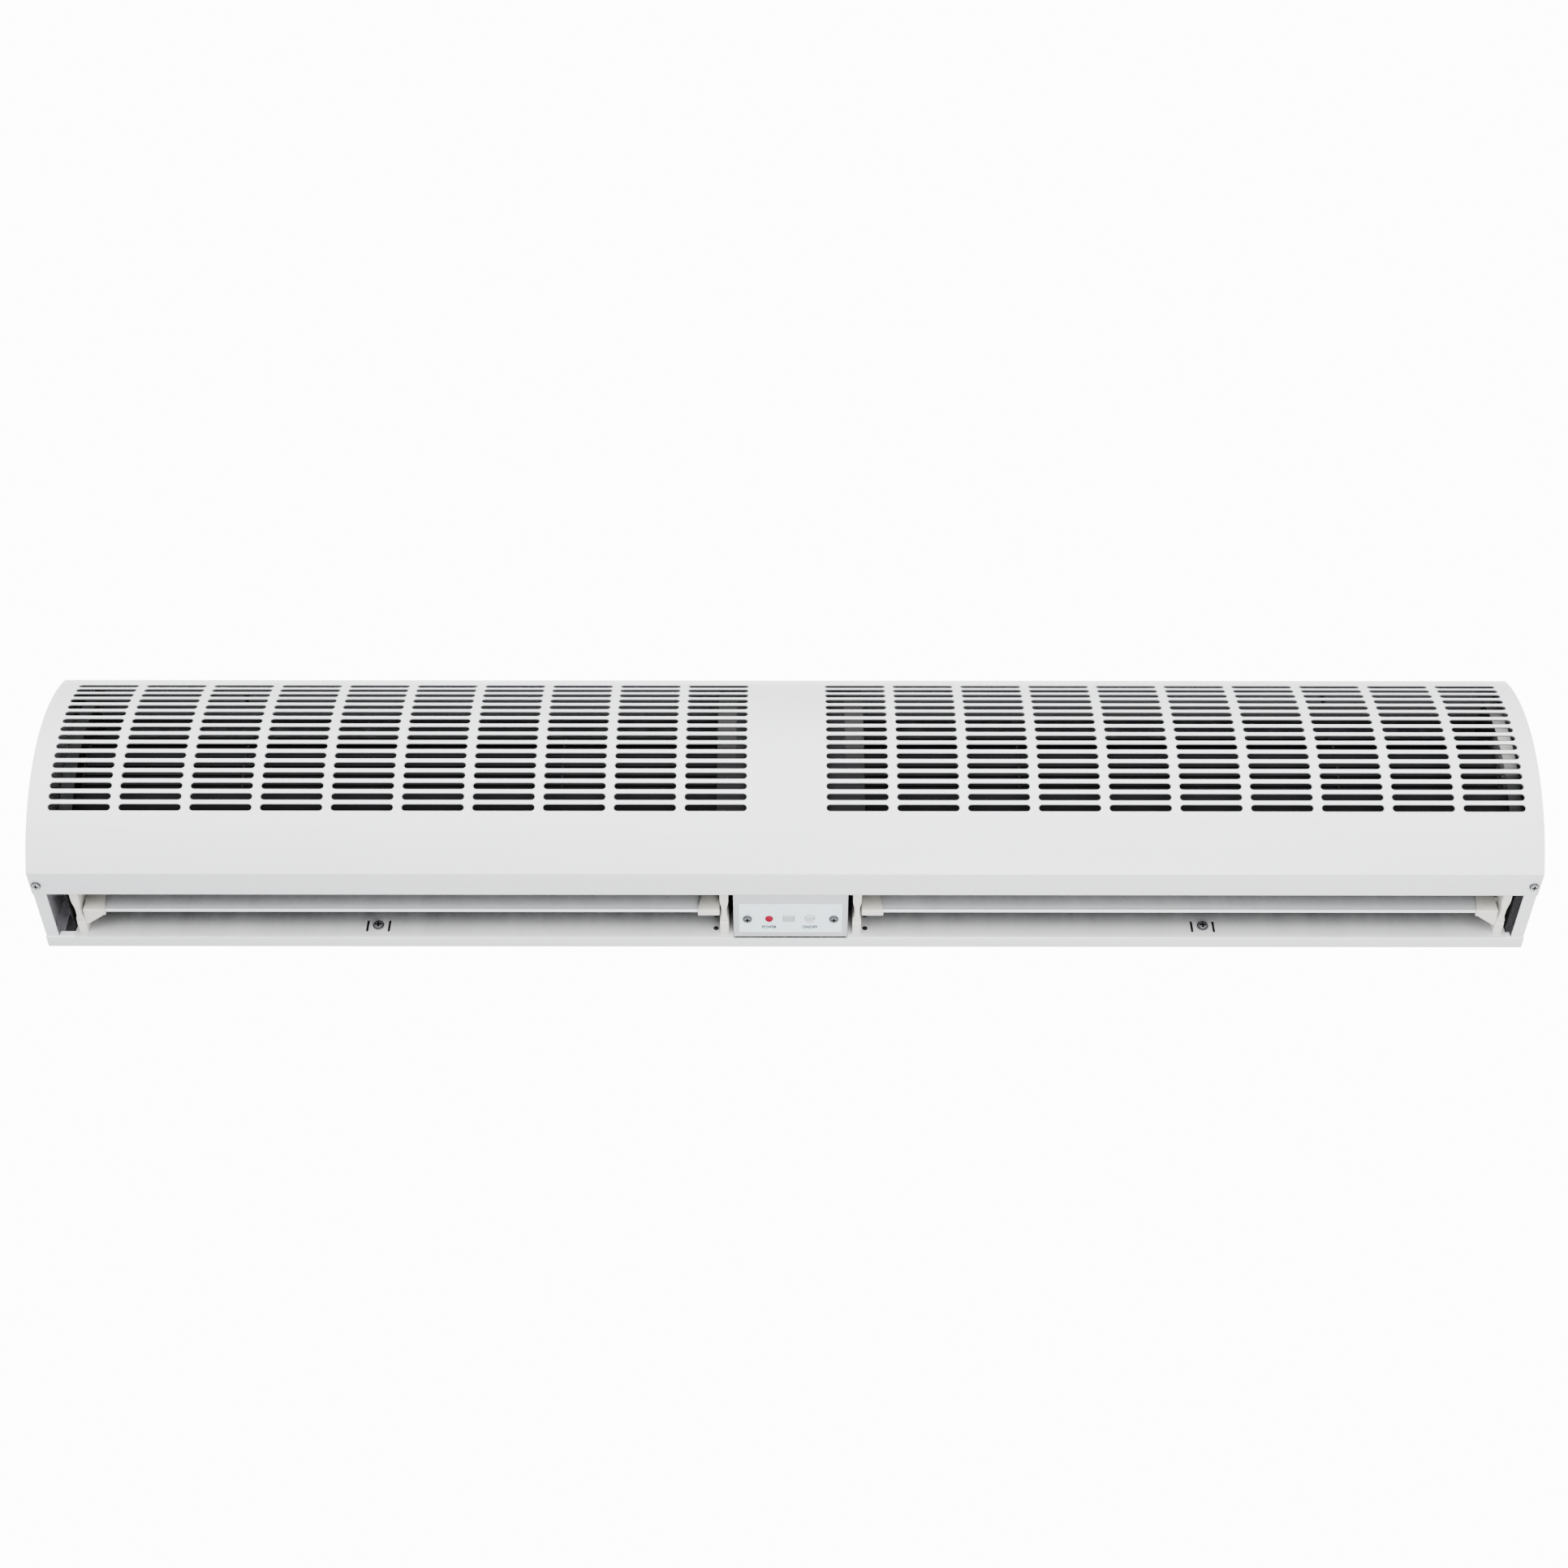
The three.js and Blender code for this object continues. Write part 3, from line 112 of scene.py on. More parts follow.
class Patchwork:
    """Mesh gathered from patches, in section millimetres, and welded where they meet."""

    def __init__(self) -> None:
        """Starts without a patch."""
        self.points: list[Array] = []
        self.faces: list[Array] = []
        self.count = 0

    def add(self, points: Array, faces: Array) -> "Patchwork":
        """Adds one patch.

        Args:
            points: (n, 3) places.
            faces: (m, k) rows of indices into those places.

        Returns:
            The patchwork itself.
        """
        self.points.append(np.asarray(points, float).reshape(-1, 3))
        self.faces.append(np.asarray(faces, int) + self.count)
        self.count += len(self.points[-1])
        return self

    def grid(self, points: Array, close_u: bool = False, close_v: bool = False) -> "Patchwork":
        """Adds a grid of two parameters as quads.

        Args:
            points: (nu, nv, 3) places.
            close_u: joins the last row to the first.
            close_v: joins the last column to the first.

        Returns:
            The patchwork itself.
        """
        nu, nv = points.shape[:2]
        index = np.arange(nu * nv).reshape(nu, nv)
        index = np.vstack([index, index[:1]]) if close_u else index
        index = np.hstack([index, index[:, :1]]) if close_v else index
        return self.add(points, quads(index).reshape(-1, 4))

    def lattice(self, x: Array, along: Array, kept: Array) -> "Patchwork":
        """Adds the kept cells of a flat grid, given its lines along x and along the sheet's path."""
        index = np.arange(len(x) * len(along)).reshape(len(x), len(along))
        return self.add(flat_places(*np.meshgrid(x, along, indexing="ij")), quads(index)[kept][:, [0, 3, 2, 1]])

    def tube(self, rings: Array) -> "Patchwork":
        """Adds (n rings, n points, 3) rings joined into a tube and closed by a flat face at each end."""
        each = np.arange(rings.shape[1])[None, :]
        return self.grid(rings, close_v=True).add(rings[0], each).add(rings[-1], each)

    def merge(self, other: "Patchwork") -> "Patchwork":
        """Adds every patch of another patchwork and hands back this one."""
        self.points += other.points
        self.faces += [block + self.count for block in other.faces]
        self.count += other.count
        return self

    def welded(self) -> tuple[Array, list[list[int]]]:
        """Joins points that share a place and drops faces that collapse.

        Returns:
            The places and the faces.
        """
        points = np.vstack(self.points)
        _, first, same = np.unique(np.round(points, 4), axis=0, return_index=True, return_inverse=True)
        same = same.ravel()
        faces: list[list[int]] = []
        for block in self.faces:
            block = same[block]
            whole = (block != np.roll(block, 1, axis=1)).all(axis=1)
            faces += block[whole].tolist()
            faces += [kept for row in block[~whole].tolist() if len(kept := list(dict.fromkeys(row))) > 2]
        return points[first], faces


def thickened(points: Array, faces: Array, inner: Array) -> Patchwork:
    """Closes a sheet: its outer face, its inner face and the rim between them.

    Args:
        points: (n, 3) places of the outer face.
        faces: (m, 4) quads.
        inner: (n, 3) places of the inner face, point for point.

    Returns:
        The closed sheet.
    """
    total = len(points)
    starts, ends = faces.ravel(), np.roll(faces, -1, axis=1).ravel()
    rim = ~np.isin(starts * total + ends, ends * total + starts)
    walls = np.stack([ends[rim], starts[rim], starts[rim] + total, ends[rim] + total], 1)
    return Patchwork().add(np.vstack([points, inner]), np.vstack([faces, faces[:, ::-1] + total, walls]))


def rounded(corners: Sequence[Sequence[float]], radii: Sequence[float]) -> tuple[Array, Array]:
    """Polyline with arcs at its corners.

    Each arc starts radius * tan(turn / 2) before its corner.

    Args:
        corners: (n, 2) corners.
        radii: one radius for each corner, 0 to keep it sharp.

    Returns:
        Distance along the sharp polyline of each point, and the points.
    """
    sharp = np.asarray(corners, float)
    along = np.concatenate([[0.0], np.cumsum(np.linalg.norm(np.diff(sharp, axis=0), axis=1))])
    places, points = [along[0]], [sharp[0]]
    for i in range(1, len(sharp) - 1):
        before = (sharp[i] - sharp[i - 1]) / (along[i] - along[i - 1])
        after = (sharp[i + 1] - sharp[i]) / (along[i + 1] - along[i])
        turn = math.atan2(before[0] * after[1] - before[1] * after[0], float(before @ after))
        if radii[i] == 0 or abs(turn) < 1e-6:
            places.append(along[i])
            points.append(sharp[i])
            continue
        trim = radii[i] * math.tan(abs(turn) / 2)
        share = np.linspace(0.0, 1.0, ARC_FACES + 1)
        angle = share * turn
        side = math.copysign(radii[i], turn) * np.array([-before[1], before[0]])
        centre = sharp[i] - before * trim + side
        spin = np.stack([np.cos(angle), -np.sin(angle), np.sin(angle), np.cos(angle)], -1).reshape(-1, 2, 2)
        places += list(along[i] - trim + 2 * trim * share)
        points += list(centre - spin @ side)
    return np.array(places + [along[-1]]), np.vstack(points + [sharp[-1]])


def normals_of(points: Array, closed: bool = False) -> Array:
    """Mitred normals on the left of a polyline, long enough to offset it by one unit.

    Args:
        points: (n, 2) places.
        closed: the last point joins the first.

    Returns:
        (n, 2) normals.
    """
    runs = np.diff(np.vstack([points, points[:1]]) if closed else points, axis=0)
    runs /= np.linalg.norm(runs, axis=1)[:, None]
    left = np.stack([-runs[:, 1], runs[:, 0]], 1)
    before = np.roll(left, 1, axis=0) if closed else np.vstack([left[:1], left])
    after = left if closed else np.vstack([left, left[-1:]])
    return (before + after) / (1 + (before * after).sum(1))[:, None]


def folded(flat: Patchwork, along: Array, path: Array, thickness: float) -> Patchwork:
    """Lays a flat sheet along a path in the (y, z) section and gives it thickness.

    Args:
        flat: its outer face as (x, along, depth of a dip).
        along: distance along the sharp path of each of its points.
        path: (n, 2) points of the path; the thickness lies on its left.
        thickness: of the sheet where it has no dip.

    Returns:
        The closed sheet.
    """
    spots, rows = flat.welded()
    place, normal = (np.stack([np.interp(spots[:, 1], along, values) for values in line.T], 1)
                     for line in (path, normals_of(path)))
    dip = spots[:, 2:]
    outer = np.column_stack([spots[:, 0], place + normal * dip])
    inner = outer + np.column_stack([np.zeros(len(spots)), normal * (thickness - RIM_THINNING * dip)])
    return thickened(outer, np.array([row for row in rows if len(row) == 4]), inner)


def oriented(u: Array, v: Array, along: Array, axis: Axis) -> Array:
    """Stacks an outline's two coordinates and its axis into (..., 3) places."""
    parts = [u, v]
    parts.insert(axis.value, along)
    return np.stack(np.broadcast_arrays(*parts), -1)


def drawn_out(outline: Array, start: float, end: float, axis: Axis, edge: float = 0.0) -> Patchwork:
    """Solid with a constant outline and rounded edges at both ends.

    A ring at angle a is inset by edge * (1 - sin a) and lies edge * (1 - cos a) inside the end.

    Args:
        outline: (n, 2) closed outline.
        start: where it starts along the axis.
        end: where it ends.
        axis: direction in which it is drawn out.
        edge: radius of the rounded edges.

    Returns:
        The solid.
    """
    turn = np.linspace(0, np.pi / 2, 4) if edge else np.array([np.pi / 2])
    inset = edge * (1 - np.sin(turn))
    depth = edge * (1 - np.cos(turn))
    area = float(np.sum(outline[:, 0] * np.roll(outline[:, 1], -1) - outline[:, 1] * np.roll(outline[:, 0], -1)))
    inward = normals_of(outline, closed=True) * math.copysign(1.0, area)
    insets = np.concatenate([inset, inset[::-1]])
    alongs = np.concatenate([start + depth, (end - depth)[::-1]])
    flat = outline[None] + inward[None] * insets[:, None, None]
    return Patchwork().tube(oriented(flat[..., 0], flat[..., 1], alongs[:, None], axis))


def circle(radius: float, sides: int = 32) -> Array:
    """(n, 2) points of a circle about the origin: radius * (cos a, sin a)."""
    turn = np.arange(sides) * 2 * np.pi / sides
    return radius * np.stack([np.cos(turn), np.sin(turn)], 1)


def oblong(half_u: float, half_v: float, radius: float, steps: int = 5) -> Array:
    """(n, 2) outline of a rectangle about the origin with rounded corners."""
    turn = np.linspace(0, np.pi / 2, steps + 1)
    corner = radius * np.stack([np.cos(turn), np.sin(turn)], 1)
    reach = np.array([half_u - radius, half_v - radius])
    quarter = corner + reach
    turned = np.stack([-corner[:, 1], corner[:, 0]], 1) + reach * (-1, 1)
    return np.vstack([quarter, turned, -quarter, -turned])


def spun(profile: Array, centre: Pair, axis: Axis, sides: int = 32, hollow: bool = False) -> Patchwork:
    """Turned solid: each (radius, along) of the profile becomes a ring about the centre.

    Args:
        profile: (n, 2) radii and places along the axis.
        centre: where the axis crosses the outline's plane.
        axis: direction of the axis.
        sides: points of a ring.
        hollow: the profile closes on itself, as in a ring, instead of on the axis.

    Returns:
        The solid.
    """
    radius, along = np.asarray(profile, float).T[:, :, None]
    turn = circle(1.0, sides)
    rings = oriented(centre[0] + radius * turn[:, 0], centre[1] + radius * turn[:, 1], along, axis)
    return Patchwork().grid(rings, True, True) if hollow else Patchwork().tube(rings)


def block(x: Pair, y: Pair, z: Pair, edge: float) -> Patchwork:
    """Rectangular solid with softened edges."""
    outline = oblong(abs(x[1] - x[0]) / 2, abs(y[1] - y[0]) / 2, edge, 2) + (sum(x) / 2, sum(y) / 2)
    return drawn_out(outline, *z, Axis.Z, edge)


def make(name: str, work: Patchwork, finish: "Finish", *stands_for: str, body: str = "casing") -> bpy.types.Object:
    """Makes one piece of the object, gives it its finish and hands it to the frame.

    Args:
        name: name of the piece.
        work: its mesh in section millimetres.
        finish: what it is made of.
        stands_for: CAD nodes that it replaces.
        body: CAD body that it moves with.

    Returns:
        The new object.
    """
    points, faces = work.welded()
    mesh = bpy.data.meshes.new(name)
    mesh.from_pydata(((points - (0, 0, RAIL_CENTRE)) * METRES).tolist(), [], faces)
    shell = bmesh.new()
    shell.from_mesh(mesh)
    bmesh.ops.recalc_face_normals(shell, faces=shell.faces)
    loose = sum(not edge.is_manifold for edge in shell.edges)
    shell.to_mesh(mesh)
    shell.free()
    mesh.shade_smooth()
    mesh.set_sharp_from_angle(angle=math.radians(CREASE))
    mesh.materials.append(finish.material())
    piece = bpy.data.objects.new(name, mesh)
    bpy.context.scene.collection.objects.link(piece)
    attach(piece, body)
    if stands_for:
        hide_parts(*stands_for)
    log.info("%s: %d points, %d faces, %d open edges", name, len(points), len(faces), loose)
    return piece


@dataclass(frozen=True)
class Bore:
    """Round hole in a sheet, in the middle of a square cell of it."""

    x: float
    along: float
    radius: float
    cell: float


@dataclass(frozen=True)
class Sheet:
    """Folded sheet: a path in the (y, z) section drawn along x, with rounded folds, bores and cut-outs.

    Args:
        corners: the outer face in the section; the thickness lies on its left.
        ends: where it starts and ends along x.
        thickness: of the sheet.
        fold: outer radius of the folds.
        bores: round holes.
        cuts: (x0, x1, along0, along1) rectangles that are cut out.
    """

    corners: tuple[Pair, ...]
    ends: Pair
    thickness: float = 1.0
    fold: float = 1.6
    bores: tuple[Bore, ...] = ()
    cuts: tuple[Box, ...] = ()

    @staticmethod
    def lines(fixed: Sequence[float], more: Sequence[Sequence[float]]) -> Array:
        """Sorted grid lines from the first fixed one to the last."""
        every = np.unique(np.round(np.concatenate([fixed, *more]), 4))
        every = every[(every >= fixed[0]) & (every <= fixed[-1])]
        return every[np.concatenate([[True], np.diff(every) > LEAST_CELL])]

    def work(self) -> Patchwork:
        """Lays a grid of (x, along), opens it, and folds it along the path."""
        along, path = rounded(self.corners, [0.0, *[self.fold] * (len(self.corners) - 2), 0.0])
        steps = np.array([-1.0, -0.6, -0.2, 0.2, 0.6, 1.0])
        cells = [(b.x - b.cell, b.x + b.cell, b.along - b.cell, b.along + b.cell) for b in self.bores]
        x = self.lines(self.ends, [b.x + b.cell * steps for b in self.bores] + [c[:2] for c in self.cuts])
        s = self.lines(along, [b.along + b.cell * steps for b in self.bores] + [c[2:] for c in self.cuts])
        x_mid, s_mid = np.meshgrid((x[:-1] + x[1:]) / 2, (s[:-1] + s[1:]) / 2, indexing="ij")
        gone = np.zeros(x_mid.shape, bool)
        for x0, x1, s0, s1 in (*cells, *self.cuts):
            gone |= (x_mid > x0) & (x_mid < x1) & (s_mid > s0) & (s_mid < s1)
        flat = Patchwork().lattice(x, s, ~gone)
        for bore, (x0, x1, s0, s1) in zip(self.bores, cells):
            ring = border(x[(x > x0 - SAME_LINE) & (x < x1 + SAME_LINE)],
                          s[(s > s0 - SAME_LINE) & (s < s1 + SAME_LINE)])
            away = ring - (bore.x, bore.along)
            hole = (bore.x, bore.along) + bore.radius * away / np.linalg.norm(away, axis=1)[:, None]
            both = np.stack([ring, hole])
            flat.grid(flat_places(both[..., 0], both[..., 1]), close_v=True)
        return folded(flat, along, path, self.thickness)


def mark(piece: bpy.types.Object, name: str, test: Callable[[Array], Array]) -> None:
    """Gives every face an attribute worked out from its middle, for the piece's material to read.

    Args:
        piece: the piece.
        name: name of the attribute.
        test: turns (n, 3) places in section millimetres into n values from 0 to 1.
    """
    mesh = piece.data
    places = np.empty(len(mesh.polygons) * 3)
    mesh.polygons.foreach_get("center", places)
    values = test(places.reshape(-1, 3) / METRES + (0, 0, RAIL_CENTRE)).astype(float)
    mesh.attributes.new(name, "FLOAT", "FACE").data.foreach_set("value", values)


# ---- shader maths
class Socket:
    """Output of a node, with arithmetic that adds Math nodes."""

    def __init__(self, nodes: "Nodes", output: bpy.types.NodeSocket) -> None:
        """Holds an output and the tree that it belongs to."""
        self.nodes = nodes
        self.output = output

    def math(self, operation: str, *values: Any) -> "Socket":
        """Applies one Math operation to this value and others."""
        inputs = dict(enumerate((self, *values)))
        return self.nodes.add("ShaderNodeMath", {"operation": operation}, inputs)

    def __add__(self, other: Any) -> "Socket":
        """Sum with a value or another output."""
        return self.math("ADD", other)

    def __sub__(self, other: Any) -> "Socket":
        """Difference from a value or another output."""
        return self.math("SUBTRACT", other)

    def __mul__(self, other: Any) -> "Socket":
        """Product with a value or another output."""
        return self.math("MULTIPLY", other)


class Nodes:
    """Node tree of one material or of the world."""

    def __init__(self, made: bpy.types.Material | bpy.types.World) -> None:
        """Takes over the tree of a material or a world."""
        self.made = made
        self.made.use_nodes = True
        self.tree = self.made.node_tree

    def add(self, kind: str, settings: dict[str, Any] | None = None,
            inputs: dict[str | int, Any] | None = None, output: str | int = 0) -> Socket:
        """Adds a node.

        Args:
            kind: its type.
            settings: its properties, set before its sockets.
            inputs: values or links for its sockets.
            output: the socket that is handed back.

        Returns:
            That output.
        """
        node = self.tree.nodes.new(kind)
        for key, value in (settings or {}).items():
            setattr(node, key, value)
        for key, value in (inputs or {}).items():
            self.give(node.inputs[key], value)
        return Socket(self, node.outputs[output])

    def give(self, socket: bpy.types.NodeSocket, value: Any) -> None:
        """Links a socket, or sets its value."""
        if isinstance(value, Socket):
            self.tree.links.new(value.output, socket)
        else:
            socket.default_value = value

    def place(self, stretch: Triple = (1.0, 1.0, 1.0)) -> Socket:
        """Object coordinates in metres, stretched along each axis."""
        here = self.add("ShaderNodeTexCoord", output="Object")
        return self.add("ShaderNodeVectorMath", {"operation": "MULTIPLY"}, {0: here, 1: stretch})

    def axis(self, letter: str) -> Socket:
        """One object coordinate in metres."""
        return self.add("ShaderNodeSeparateXYZ", {}, {0: self.place()}, letter)

    def attribute(self, name: str) -> Socket:
        """An attribute of the piece, 0 where it has none."""
        return self.add("ShaderNodeAttribute", {"attribute_name": name}, {}, "Fac")

    def noise(self, scale: float, detail: float = 2.0, stretch: Triple = (1.0, 1.0, 1.0)) -> Socket:
        """Noise from 0 to 1 with a mean of one half."""
        inputs = {"Vector": self.place(stretch), "Scale": scale, "Detail": detail}
        return self.add("ShaderNodeTexNoise", {}, inputs)

    def ramp(self, value: Socket, low: float, high: float, start: float = 0.0, end: float = 1.0) -> Socket:
        """Maps a value from low...high to start...end and keeps it in that range."""
        inputs = {"Value": value, "From Min": low, "From Max": high, "To Min": start, "To Max": end}
        return self.add("ShaderNodeMapRange", {}, inputs)

    def mix(self, share: Any, first: Any, second: Any) -> Socket:
        """Mixes two colours."""
        first, second = [(*c, 1.0) if isinstance(c, tuple) else c for c in (first, second)]
        return self.add("ShaderNodeMix", {"data_type": "RGBA"}, {0: share, 6: first, 7: second}, 2)

    def bump(self, height: Socket, distance: float) -> Socket:
        """Surface relief from a height of 0 to 1, its depth given in metres."""
        return self.add("ShaderNodeBump", {}, {"Height": height, "Distance": distance}, "Normal")

    def finish(self, **inputs: Any) -> bpy.types.Material:
        """Sets the shader's sockets, whose names have _ for spaces, and hands back the material."""
        for key, value in inputs.items():
            self.give(self.tree.nodes["Principled BSDF"].inputs[key.replace("_", " ")], value)
        return self.made


# ---- finishes
@dataclass(frozen=True)
class Finish:
    """A material: one base colour that drifts a little, with uneven roughness and fine relief.

    Args:
        slot: the record's material slot.
        base: main colour.
        stain_and_shade: colour that it drifts to; a real stain in most finishes, painted shade in the finishes that
            paint shade.
        rough: roughness.
        metal: how metallic it is.
        grain: scale of the fine relief.
        relief: depth of that relief in metres.
        coat: weight of a clear coat.
        stretch: how much finer the relief is along x, y and z.
        shine: specular level.
        variant: tells it from other finishes of the same slot.
    """

    slot: str
    base: Triple
    stain_and_shade: Triple
    rough: float = 0.4
    metal: float = 0.0
    grain: float = 900.0
    relief: float = 0.00002
    coat: float = 0.0
    stretch: Triple = (1.0, 1.0, 1.0)
    shine: float = 0.5
    variant: str = "plain"

    def colour(self, nodes: Nodes) -> Socket:
        """Base colour with broad clouds and small specks of the stain."""
        clouds = nodes.ramp(nodes.noise(7.0, 4.0), 0.35, 0.75)
        specks = nodes.ramp(nodes.noise(420.0, 2.0), 0.62, 0.74, 0.0, 0.35)
        return nodes.mix(clouds.math("MAXIMUM", specks), self.base, self.stain_and_shade)

    def roughness(self, nodes: Nodes) -> Socket:
        """Roughness that drifts by a few hundredths, as handling and wiping leave it."""
        return nodes.ramp(nodes.noise(24.0, 5.0), 0.3, 0.7, self.rough - 0.05, self.rough + 0.06)

    def relief_of(self, nodes: Nodes) -> Socket:
        """Fine relief of the surface."""
        return nodes.bump(nodes.noise(self.grain, 3.0, self.stretch), self.relief)

    def material(self) -> bpy.types.Material:
        """The material, made once and shared by its pieces."""
        name = f"{self.slot}_{self.variant}"
        if name in bpy.data.materials:
            return bpy.data.materials[name]
        nodes = Nodes(bpy.data.materials.new(name))
        return nodes.finish(
            Base_Color=self.colour(nodes),
            Roughness=self.roughness(nodes),
            Metallic=self.metal,
            Coat_Weight=self.coat,
            Coat_Roughness=0.12,
            Specular_IOR_Level=self.shine,
            Normal=self.relief_of(nodes),
        )


@dataclass(frozen=True)
class PowderCoat(Finish):
    """Baked powder coat: orange peel over a few longer waves, and painted shade on the inside."""

    # inner_shade: colour of the painted shade on the inner faces and on the slots' cut edges.
    inner_shade: Triple = (0.10, 0.10, 0.105)

    def inside(self, nodes: Nodes) -> Socket:
        """Mask of painted shade: 1 on the inside of a piece that carries the attribute, 0 elsewhere."""
        return nodes.attribute("inside")

    def colour(self, nodes: Nodes) -> Socket:
        """Cool white with broad clouds, and painted shade on the inside."""
        clouds = nodes.ramp(nodes.noise(5.0, 4.0), 0.35, 0.75)
        scuffs = nodes.ramp(nodes.noise(160.0, 4.0), 0.58, 0.66, 0.0, 0.12)
        outer = nodes.mix(scuffs, nodes.mix(clouds, self.base, self.stain_and_shade), (0.62, 0.63, 0.65))
        return nodes.mix(self.inside(nodes), outer, self.inner_shade)

    def relief_of(self, nodes: Nodes) -> Socket:
        """Orange peel of about 0.8 mm on waves of about 12 mm."""
        return nodes.bump(nodes.noise(1250.0, 1.0) + nodes.noise(85.0, 1.0) * 0.6, self.relief)


@dataclass(frozen=True)
class EndCoat(PowderCoat):
    """Powder coat of the end plates, with painted shade on the face that looks into the casing.

    Args:
        face: |x| of that face in metres.
        foot: height of the bottom fold's inner face in the frame.
    """

    face: float = 0.5990
    foot: float = -0.1125

    def inside(self, nodes: Nodes) -> Socket:
        """1 above the bottom fold and inside the outer face."""
        x = nodes.axis("X").math("ABSOLUTE")
        return x.math("LESS_THAN", self.face) * nodes.axis("Z").math("GREATER_THAN", self.foot)


@dataclass(frozen=True)
class Galvanised(Finish):
    """Hot-dip zinc: flat crystals about 6 mm across, each with its own tone and gloss."""

    spread: float = 0.22

    def spangle(self, nodes: Nodes) -> Socket:
        """One random value for each crystal."""
        bend = nodes.noise(210.0, 2.0)
        here = nodes.add("ShaderNodeVectorMath", {"operation": "ADD"}, {0: nodes.place(), 1: bend * 0.003})
        cells = nodes.add("ShaderNodeTexVoronoi", {}, {"Vector": here, "Scale": 150.0}, "Color")
        return nodes.add("ShaderNodeSeparateColor", {}, {0: cells})

    def colour(self, nodes: Nodes) -> Socket:
        """Zinc grey, lighter and darker from one crystal to the next."""
        return nodes.mix(self.spangle(nodes), self.base, self.stain_and_shade)

    def roughness(self, nodes: Nodes) -> Socket:
        """Each crystal reflects a little more or less sharply."""
        return self.spangle(nodes) * self.spread + (self.rough - self.spread / 2)


@dataclass(frozen=True)
class ShadedFarIn(Finish):
    """Smooth sheet or extrusion with painted shade: its base colour near the mouth, darker farther in.

    Args:
        lit_height: section height in millimetres up to which the base colour holds.
        shaded_height: height from which the painted shade is complete.
    """

    lit_height: float = 2.0
    shaded_height: float = 30.0

    def colour(self, nodes: Nodes) -> Socket:
        """Painted shade: falls from the base colour to the shade colour between both heights, with a few streaks."""
        low, high = ((height - RAIL_CENTRE) * METRES for height in (self.lit_height, self.shaded_height))
        streaks = nodes.noise(60.0, 3.0, (1.0, 1.0, 0.08)) * 0.2
        depth_shade = nodes.ramp(nodes.ramp(nodes.axis("Z"), low, high) + streaks - 0.1, 0.0, 1.0)
        return nodes.mix(depth_shade, self.base, self.stain_and_shade)


@dataclass(frozen=True)
class Rubbed(Finish):
    """Sheet behind the grille: painted shade, with one painted patch of light.

    Args:
        across: |x| from the fan unit's middle, in metres, from which the patch starts.
        middle: height of its middle in the frame.
        reach: half its height.
        fade: width of its soft edge along x.
    """

    across: float = 0.0
    middle: float = 0.0
    reach: float = 0.04
    fade: float = 0.002

    def colour(self, nodes: Nodes) -> Socket:
        """Painted shade everywhere but in the painted patch of light."""
        off = (nodes.axis("X") - SHIFT * METRES).math("ABSOLUTE")
        beside = nodes.ramp(off, self.across, self.across + self.fade)
        rise = (nodes.axis("Z") - self.middle).math("ABSOLUTE")
        level = nodes.ramp(rise, self.reach * 0.2, self.reach, 1.0, 0.0)
        return nodes.mix(beside * level, self.stain_and_shade, self.base)


@dataclass(frozen=True)
class Plated(Finish):
    """Zinc-plated screw: bright on the crown, with painted shade in the recess and at the rim."""

    def colour(self, nodes: Nodes) -> Socket:
        """Painted shade in the recess and at the rim, and the crown's own darkening, from the attribute that the screw
        carries.
        """
        specks = nodes.ramp(nodes.noise(900.0, 3.0), 0.4, 0.7, 0.0, 0.3)
        crown = nodes.mix(specks, self.base, self.stain_and_shade)
        return nodes.mix(nodes.attribute("grime"), crown, (0.035, 0.036, 0.042))


# Near-black colour of deep painted shade inside the casing.
DEEP_SHADE = (0.012, 0.012, 0.013)
WHITE = PowderCoat("white_paint", (0.82, 0.83, 0.85), (0.79, 0.80, 0.81), rough=0.34, relief=0.000012)
ZINC = Galvanised("zinc_sheet", (0.52, 0.54, 0.56), (0.36, 0.37, 0.39), rough=0.42, metal=0.85)
# Scrolls: painted shade, light at the mouth and nearly black farther in.
DUCT = ShadedFarIn("zinc_sheet", (0.72, 0.72, 0.73), (0.025, 0.026, 0.028), rough=0.5, metal=0.15, grain=1500.0,
              relief=0.000008, variant="duct", lit_height=0.0, shaded_height=31.0)
# Partitions: painted shade, dark near the mouth and darker farther in.
WALL_ZINC = ShadedFarIn("zinc_sheet", (0.105, 0.105, 0.115), DEEP_SHADE, rough=0.6, metal=0.0, shine=0.1,
                   variant="wall", lit_height=35.0, shaded_height=60.0)
# Right end bracket: painted shade with a painted highlight patch where the bowed sheet catches the light.
END_ZINC = Rubbed("zinc_sheet", (0.50, 0.49, 0.47), (0.018, 0.018, 0.019), rough=0.5, metal=0.2, shine=0.2,
                  variant="end", middle=-0.008, reach=0.036)
# Motor cover behind the grille: painted shade, with a painted patch of light beside the fan bay.
COVER_ZINC = Rubbed("zinc_sheet", (0.045, 0.045, 0.045), DEEP_SHADE, rough=0.55, metal=0.0, shine=0.1,
                    variant="cover", across=0.043, middle=0.012, reach=0.05)
# Left end bracket: a near-black sheet as painted shade.
SHADED_ZINC = Galvanised("zinc_sheet", (0.016, 0.016, 0.017), DEEP_SHADE, rough=0.6, metal=0.0, shine=0.1,
                       variant="dark")
RAIL_ZINC = Galvanised("zinc_sheet", (0.58, 0.59, 0.61), (0.44, 0.45, 0.47), rough=0.38, metal=0.9, variant="rail")
# Caps and brackets: cream plastic with painted shade farther up from the mouth.
CREAM = ShadedFarIn("cream_plastic", (0.72, 0.70, 0.64), (0.13, 0.125, 0.105), rough=0.46, grain=1500.0,
               lit_height=5.0, shaded_height=27.0)
